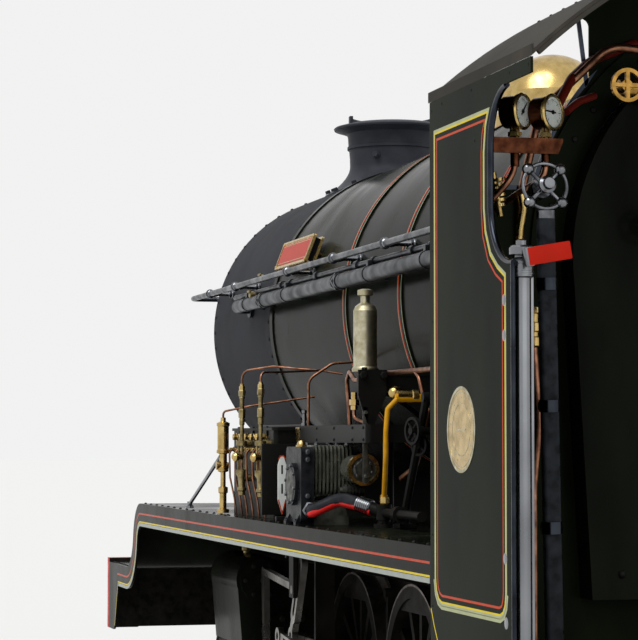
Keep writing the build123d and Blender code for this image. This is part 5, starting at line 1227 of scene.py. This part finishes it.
def build_compressor():
    """Small cylinder, covers and bolts of the compressor, the hose's stripe and clamps."""
    ribs = [(0, 10)]
    for i in range(6):
        along = 4 + i * 6.4
        ribs += [(along, 10), (along, 13.5), (along + 3.2, 13.5), (along + 3.2, 10)]
    ribs += [(44, 10), (44, 7), (50, 7)]
    piece("compressor_castings", "alloy", [
        (turned, (-484, 462, 674), LEFT, ribs, 24),
        (turned, (-532, 477, 716), BACK, [(-2, 20), (3, 20), (5, 16), (8, 15)], 28),
        (turned, (-408, 591, 686), LEFT, [(0, 32), (1.4, 32), (2.4, 24), (3, 12)], 30),
    ])
    piece("compressor_bolts", "bolt", [
        (bolt_circle, (-540, 477, 716), BACK, 18, turns(6, 0.3), 6, False),
        (bolt_circle, (-408, 591.5, 686), LEFT, 37, turns(8, 0.2), 6, False),
        [(bolt, (-470, 572, z), BACK, 8) for z in (640, 664, 735, 750)],
        [
            [
                (turned, (x, y, 760), UP, [(0, 4), (8, 4), (9, 0)], 10),
                (bolt, (x, y, 760), UP, 8),
            ] for y in (486, 548) for x in (-446, -370)
        ],
    ])

    # The route of the hose, as in the solid; the stripe bulges from its lower side
    away = Vector((46, 41, 18)).normalized()
    elbow = Vector((-606, 455, 634))
    route = [
        Vector((-470.3, 566, 636)), Vector((-494, 566, 636)), Vector((-520, 520, 660)),
        Vector((-560, 496, 652)), elbow + away * 28.3,
    ]
    low = [point + Vector((-3.2, 2.4, -5.4)) for point in route]
    piece("hose_stripe", "hose_red", [(pipe, low, 8.6, 30, 20)], sharp=60)
    grips = [(0, 13)]
    for i in range(7):
        along = 1 + i * 4.4
        grips += [(along, 13.4), (along + 0.8, 15.4), (along + 2.8, 15.4), (along + 3.6, 13.4)]
    grips += [(32, 13)]
    piece("hose_clamps", "steel", [
        (turned, elbow + away * 62, -away, grips, 28),
        (turned, (-470, 566, 636), BACK, [(0, 18), (7, 18), (8, 16), (14, 15.5)], 6),
    ])


class LOCO_OT_compressor(bpy.types.Operator):
    """Fit the compressor's bolts and small cylinder, and the hose's stripe and clamp"""

    bl_idname = "loco.compressor"
    bl_label = "Compressor and hose details"

    def execute(self, context):
        build_compressor()
        return {"FINISHED"}


def build_cab_fittings(context):
    """Dials, pipes, valves, water glasses, wheels, strap, pillar rings and handwheel balls."""
    stem = [(0, 6), (2, 11), (12, 11), (13, 8), (26, 8), (27, 11), (34, 11), (35, 8), (42, 8)]
    bezel = [(0, 24.5), (0, 28.4), (4, 29.2), (6.5, 27), (6.5, 24.5)]
    for index, (y, angle, pointer) in enumerate(((505, 42, 0.85), (455, 36, 3.1))):
        lean = radians(angle)
        out = Vector((-cos(lean), -sin(lean), 0))
        centre = Vector((-1525, y, 1281))
        low, high = (axis_frame(centre + out * rise, out) for rise in (13.7, 14.4))
        tip = Vector((cos(pointer), sin(pointer)))
        piece(f"dial_{index}", "dial", [
            (turned, centre + out * 12.6, out, [(0, 24), (1.2, 24)], 48),
        ])
        marks = []
        for i in range(25):
            turn = radians(-45 + 270 * i / 24)
            reach, wide = (18, 0.7) if i % 4 else (15.5, 1.3)
            marks.append((stripe, [polar(reach, turn), polar(21, turn)], wide, low, 0.3))
        piece(f"dial_marks_{index}", "ink", [
            *marks,
            (stripe, [tip * -8, tip * 19], 2.4, high, 0.8),
            (turned, centre + out * 14, out, [(0, 3.4), (1.6, 3.4), (2.2, 2)], 16),
        ])
        piece(f"gauge_rim_{index}", "brass", [
            (hoop, centre + out * 11, out, bezel, 48),
            (turned, (-1525, y, 1216), UP, stem, 6),
        ])
        piece(f"gauge_glass_{index}", "glass", [
            (turned, centre + out * 15.2, out, [(0, 24.3), (0.9, 24.3)], 40),
        ])

    reach = context.scene.loco_sizes.cab_pipe_radius / MM
    piece("cab_copper_pipes", "copper", [
        (pipe, [(-1525, 505, 1216), (-1525, 506, 1190), (-1530, 520, 1168), (-1500, 560, 1120),
                (-1480, 575, 1040), (-1478, 575, 640), (-1478, 560, 440)], reach, 30),
        (pipe, [(-1525, 455, 1216), (-1525, 455, 1180), (-1515, 490, 1160), (-1440, 520, 1130),
                (-1396, 530, 1090), (-1394, 530, 700)], reach, 30),
        (pipe, [(-1592, 500, 925), (-1602, 500, 870), (-1605, 496, 800), (-1590, 500, 700),
                (-1590, 500, 440)], 6.5, 40),
        (pipe, [(-1479, 250, 1345), (-1479, 250, 1392), (-1479, 330, 1398), (-1400, 420, 1300),
                (-1396, 452, 1160), (-1396, 452, 950)], 7, 40),
        [
            (pipe, [(-1479, y, 1320), (-1479, y, 1270), (-1462, y * 1.3, 1220),
                    (-1452, y * 1.5, 1000), (-1452, y * 1.5, 880), (-1440, y * 1.5, 870)],
             5, 30)
            for y in (-200, -90, 90)
        ],
    ], sharp=60)
    piece("cab_red_pipes", "dark_red", [
        (pipe,
         [(-1482, 420, 1298), (-1440, 380, 1350), (-1396, 330, 1388), (-1392, 250, 1420)],
         8, 60, 14),
        (pipe, [(-1470, 400, 1292), (-1450, 372, 1312), (-1440, 340, 1324)], 6, 30, 12),
    ], sharp=60)

    injector = [
        (0, 8), (4, 12), (16, 12), (18, 9), (24, 9), (26, 14), (38, 14), (40, 9), (52, 9),
        (54, 12), (62, 12), (64, 7),
    ]
    body = [(0, 20), (8, 20), (10, 12), (30, 12), (32, 18), (44, 18), (48, 8), (60, 8)]
    piece("cab_brasses", "brass", [
        (turned, (-1592, 500, 912), UP, injector, 16),
        (turned, (-1592, 486, 944), LEFT, [(0, 9), (22, 9), (24, 6), (32, 6)], 14),
        (pipe,
         [(-1538, 505, 1062), (-1540, 502, 1100), (-1545, 498, 1130), (-1540, 500, 1150)],
         6, 20, 14),
        [(collar, (-1505, 524, 1135 + i * 8), (0, 0.2, 1), 0, 4.5, 4, 11, 18) for i in range(6)],
        (pipe, [(-1505, 522, 1120), (-1505, 534, 1188)], 5, 0, 12),
        # Cocks above and below each water glass
        [
            [
                (turned, (-1480, y, z), BACK,
                 [(0, 7), (10, 7), (12, 9), (20, 9), (24, 5)], 6),
                (turned, (-1475, y, z - 20), UP, [(-8, 5), (0, 9), (40, 9), (48, 5)], 6),
            ] for y in (-128, 128) for z in (1040, 1214)
        ],
        (block, (-1500, 0, 1180), (26, 26, 26), 4),
        [(turned, (-1444, y, 1120), BACK, body, 20) for y in (250, -250)],
    ])
    piece("water_glasses", "glass", [
        (turned, (-1494, y, 1052), UP, [(0, 7), (150, 7)], 16) for y in (-128, 128)
    ])

    # Blower and injector valve wheels, backhead bolts and rivets, firehole latch
    wheels = []
    for y in (250, -250):
        wheels.append((collar, (-1506, y, 1120), BACK, 0, 5, 22, 28, 28))
        wheels += [
            (pipe, [(-1503, y, 1120), (-1508, *polar(26, turn, (y, 1120)))], 2.8, 0, 8)
            for turn in turns(4, pi / 4)
        ]
    piece("backhead_ironwork", "dark_bolt", [
        *wheels,
        (bolt_circle, (-1391.4, 0, BOILER_Z), BACK, 408, turns(44, pi / 44)[:22], 9),
        [(rivet, (-1443, -300 + i * 75, 560), BACK, 7) for i in range(9)],
        (block, (-1478, -56, 790), (10, 70, 12), 3),
    ])

    out = Vector((0.16, -1, 0.18)).normalized()
    strap = axis_frame((-1800, 548, 1040), out)
    piece("pillar_strap", "red", [
        (block, strap.translation, (6, 26, 70), 2.5, strap.to_3x3().to_4x4()),
    ])
    tip = axis_frame((-1802, 580, 1034), out)
    cap = [(0, 15), (2, 17.6), (10, 17.6), (12, 15)]
    piece("pillar_strap_end", "steel", [
        (block, tip.translation, (9, 28, 12), 2.5, tip.to_3x3().to_4x4()),
        (turned, (PILLAR_X - 1, PILLAR_Y, 1006), UP, cap, 24),
    ])

    # Rings and caps of the pillars, the reverser's handwheel with four balls, its foot
    ring = [(-2, 17.6), (-1, 19), (1, 19), (2, 17.6)]
    cap = [(0, 17.8), (10, 17.8), (13, 15), (14, 8), (20, 8), (22, 6), (23, 0)]
    ahead = Vector((-1, 0, 0.12)).normalized()
    rise = ahead.cross(Vector(LEFT)).normalized()
    top, foot = Vector((-1694, 516.5, 1148)), Vector((-1652, 489, 428))
    ball = [(9.2 * sin(a), 9.2 * cos(a)) for a in (-pi / 2 + pi * k / 8 for k in range(9))]
    piece("cab_steelwork", "steel", [
        [
            [
                (hoop, (PILLAR_X, y, 1012), UP, ring, 28),
                (hoop, (PILLAR_X, y, 1028), UP, ring, 28),
                (turned, (PILLAR_X, y, 448), UP, [(0, 18.4), (3, 20), (6, 20), (9, 18.4)], 24),
                (turned, (PILLAR_X, y, 1040), UP, cap, 28),
            ] for y in (PILLAR_Y, -PILLAR_Y)
        ],
        (turned, (-1702, 516.5, 1149), (-1, 0, 0.12),
         [(0, 13), (5, 13), (8, 9), (14, 8), (16, 0)], 24),
        [
            (turned, top + across * Vector(LEFT) + up * rise, ahead, ball, 18)
            for across, up in (polar(35.5, turn) for turn in turns(4, pi / 4))
        ],
        (turned, (-1652, 489, 436), UP, [(0, 22), (14, 18), (16, 15), (24, 14)], 20),
        [(bolt, (x, y, 436), UP, 9) for x in (-1684, -1620) for y in (468, 510)],
    ])
    clamps = []
    for share in (0.3, 0.55, 0.8):
        spot = foot + (top - foot) * share
        clamps += [
            (collar, spot, top - foot, -9, 9, 12, 16, 20),
            (block, spot + Vector((20, -4, 0)), (34, 20, 12), 2),
        ]
    piece("column_clamps", "beading", [
        *clamps, (pipe, [(-1625, 480, 976), (-1640, 492, 976), (-1676, 508, 990)], 8, 8, 12),
    ])


class LOCO_OT_cab_fittings(bpy.types.Operator):
    """Fit the dials, pipes, valves and handles inside the cab"""

    bl_idname = "loco.cab_fittings"
    bl_label = "Cab fittings"

    def execute(self, context):
        build_cab_fittings(context)
        return {"FINISHED"}


def build_running_gear():
    """Bolts, cocks and cups of the cylinders, ironwork of the front, handles of the door."""
    bolts, cocks = [], []
    drain = [(0, 8), (6, 8), (8, 11), (18, 11), (20, 6), (30, 5)]
    cup = [(0, 8), (5, 8), (7, 12), (20, 12), (22, 8), (26, 0)]
    for side in (1, -1):
        y = side * CYLINDER_Y
        for x, way in ((1069, AHEAD), (731, BACK)):
            bolts += [
                (bolt_circle, (x, y, CYLINDER_Z), way, 98, turns(12, pi / 12), 12),
                (bolt_circle, (x, side * VALVE_Y, VALVE_Z), way, 40, turns(6), 9),
            ]
        bolts += [(collar, (x, y, CYLINDER_Z), AHEAD, 0, 10, 124.6, 127, 64) for x in (755, 1035)]
        cocks += [(turned, (x, y, 116.5), (0, 0, -1), drain, 14) for x in (775, 1025)]
        cocks.append((turned, (900, side * VALVE_Y, 489), UP, cup, 16))
    piece("cylinder_bolts", "dark_bolt", bolts)
    piece("cylinder_cocks", "old_brass", cocks)

    # Lamp irons and beam bolts
    piece("front_ironwork", "dark_bolt", [
        [
            (block, (x, y, z), size, chamfer) for y in (-430, 430)
            for x, z, size, chamfer in (
                (1700, 444, (8, 40, 30), 1.5), (1716, 431.5, (40, 40, 6), 1),
            )
        ],
        [(bolt, (1764, y, z), AHEAD, 16) for y in (-80, 80) for z in (262, 348)],
        [(rivet, (1764.4, -455 + i * 130, z), AHEAD, 6) for i in range(8) for z in (400, 275)],
    ])

    hub = Vector((1431, 0, BOILER_Z))
    tips = [hub + Vector((6, *polar(92, turn))) for turn in (0.5, -2.4)]
    nut = [(0, 16), (4, 18), (12, 18), (14, 10), (18, 0)]
    piece("door_handles", "steel", [
        [(pipe, [hub, tip], 6, 0, 12) for tip in tips],
        [
            (turned, tip - Vector((4, 0, 0)), AHEAD, [(0, 6), (3, 9), (12, 9), (16, 0)], 16)
            for tip in tips
        ],
        (turned, (1418, 0, BOILER_Z), AHEAD, nut, 6),
    ], body="smokebox_door")


class LOCO_OT_running_gear(bpy.types.Operator):
    """Fit the bolts, covers and oil cups of the cylinders, motion and front end"""

    bl_idname = "loco.running_gear"
    bl_label = "Cylinders and front end"

    def execute(self, context):
        build_running_gear()
        return {"FINISHED"}


def build_stage(context):
    """Floor, white room, two soft suns and the camera."""
    scene = context.scene
    looks = scene.loco_stage

    def stand(name, data, place=(0, 0, 0)):
        made = bpy.data.objects.new(name, data)
        made.location = place
        scene.collection.objects.link(made)
        return made

    # Matt pale grey that only takes soft shadows
    material = new_material(
        "pale_studio_floor", Roughness=1.0, Specular_IOR_Level=0.0,
        Base_Color=linear("#E2E2E1"),
    )[0]
    mesh = bmesh.new()
    bmesh.ops.create_grid(mesh, x_segments=2, y_segments=2, size=looks.floor_reach)
    data = bpy.data.meshes.new("floor")
    mesh.to_mesh(data)
    mesh.free()
    data.materials.append(material)
    floor = stand("floor", data)

    # White walls: one brightness where they are seen, mirrored or shine through, another as
    # light
    world = bpy.data.worlds.new("white_room")
    scene.world = world
    world.use_nodes = True
    tree = world.node_tree
    rays = add_node(tree, "ShaderNodeLightPath").outputs
    seen = compute(tree, "MAXIMUM", rays["Is Camera Ray"], rays["Is Glossy Ray"])
    seen = compute(tree, "MAXIMUM", seen, rays["Is Transmission Ray"])
    fill(tree.nodes["Background"], {
        "Color": (1, 1, 1, 1), "Strength": span(tree, seen, looks.room_light, looks.backdrop),
    })

    for name, place, width, power in (
        ("sun", (-1.6, 2.4, 4.2), 40, looks.sun_power),
        ("fill_sun", (-3.5, -1.2, 1.4), 60, looks.fill_power),
    ):
        lamp = bpy.data.lights.new(name, "SUN")
        lamp.angle = radians(width)
        lamp.energy = power
        turn = (-Vector(place)).to_track_quat("-Z", "Y")
        stand(name, lamp, place).rotation_euler = turn.to_euler()

    lens = bpy.data.cameras.new("camera")
    lens.lens = looks.lens
    lens.sensor_width = 36.0
    lens.sensor_fit = "HORIZONTAL"
    lens.clip_start = 0.1
    lens.clip_end = 400.0
    camera = stand("camera", lens, looks.camera_place)
    camera.rotation_euler = (pi / 2 + looks.camera_pitch, 0.0, -pi / 2 - looks.camera_yaw)
    scene.camera = camera
    scene.view_settings.view_transform = "Standard"


class LOCO_OT_stage(bpy.types.Operator):
    """Build the pale floor, the soft studio lights and the camera"""

    bl_idname = "loco.stage"
    bl_label = "Stage, lights and camera"

    def execute(self, context):
        build_stage(context)
        return {"FINISHED"}


class StageSettings(bpy.types.PropertyGroup):
    """Camera, floor and lights."""

    lens: FloatProperty(
        name="Focal length", description="Long lens that the view is taken with",
        default=135.42, min=20, max=400, unit="CAMERA",
    )
    camera_place: FloatVectorProperty(
        name="Camera place", description="Behind the cab and to its left",
        default=(-5.034, 1.713, 0.773), size=3, subtype="TRANSLATION", unit="LENGTH",
    )
    camera_yaw: FloatProperty(
        name="Camera yaw", description="Turn to the right of straight ahead",
        default=radians(14.31), subtype="ANGLE", unit="ROTATION",
    )
    camera_pitch: FloatProperty(
        name="Camera pitch", description="Tilt above the horizon",
        default=radians(2.866), subtype="ANGLE", unit="ROTATION",
    )
    floor_reach: FloatProperty(
        name="Floor reach", description="Half the side of the square floor",
        default=90.0, unit="LENGTH",
    )
    room_light: FloatProperty(
        name="Room light", description="Light that the white room gives the locomotive",
        default=0.62, min=0, max=2,
    )
    backdrop: FloatProperty(
        name="Backdrop", description="Brightness of the background that the camera sees",
        default=0.885, min=0, max=1,
    )
    sun_power: FloatProperty(
        name="Sun", description="Very soft light from above and to the left", default=1.9,
        min=0, soft_max=10,
    )
    fill_power: FloatProperty(
        name="Fill", description="Soft light from behind that opens up the cab", default=0.5,
        min=0, soft_max=10,
    )


class SizeSettings(bpy.types.PropertyGroup):
    """Sizes of the finish that an owner would change."""

    line_width: FloatProperty(
        name="Line width", description="Width of the outer painted line on the cab side",
        default=0.0075, min=0.001, max=0.03, unit="LENGTH", precision=4,
    )
    cab_pipe_radius: FloatProperty(
        name="Gauge pipe radius", description="Radius of the copper pipes to the gauges",
        default=0.005, min=0.001, max=0.02, unit="LENGTH", precision=4,
    )


SETTINGS = {
    "loco_colours": ColourSettings, "loco_sizes": SizeSettings, "loco_stage": StageSettings,
}


class LOCO_PT_finish(bpy.types.Panel):
    """Lists the steps that finish the locomotive"""

    bl_idname = "LOCO_PT_finish"
    bl_label = "Locomotive finish"
    bl_space_type = "VIEW_3D"
    bl_region_type = "UI"
    bl_category = "Locomotive"

    def draw(self, context):
        column = self.layout.column(align=True)
        for step in STEPS:
            column.operator(step.bl_idname)
        for group in SETTINGS:
            settings = getattr(context.scene, group)
            for name in settings.__annotations__:
                column.prop(settings, name)


STEPS = (
    PAINT_OT_locomotive, LOCO_OT_lining, LOCO_OT_bands, LOCO_OT_nameplate, LOCO_OT_boiler,
    LOCO_OT_cab_sides, LOCO_OT_deck, LOCO_OT_compressor, LOCO_OT_cab_fittings,
    LOCO_OT_running_gear, LOCO_OT_stage,
)
CLASSES = (*SETTINGS.values(), *STEPS, LOCO_PT_finish)


def register():
    for kind in CLASSES:
        bpy.utils.register_class(kind)
    for name, kind in SETTINGS.items():
        setattr(bpy.types.Scene, name, PointerProperty(type=kind))


def unregister():
    for name in SETTINGS:
        delattr(bpy.types.Scene, name)
    for kind in reversed(CLASSES):
        bpy.utils.unregister_class(kind)


def main():
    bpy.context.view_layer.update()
    register()
    mix_paints()
    bpy.ops.loco.paint()
    bpy.ops.loco.lining()
    bpy.ops.loco.bands()
    bpy.ops.loco.nameplate()
    bpy.ops.loco.boiler_details()
    bpy.ops.loco.cab_sides()
    bpy.ops.loco.deck()
    bpy.ops.loco.compressor()
    bpy.ops.loco.cab_fittings()
    bpy.ops.loco.running_gear()
    bpy.ops.loco.stage()


if __name__ == "__main__":
    main()
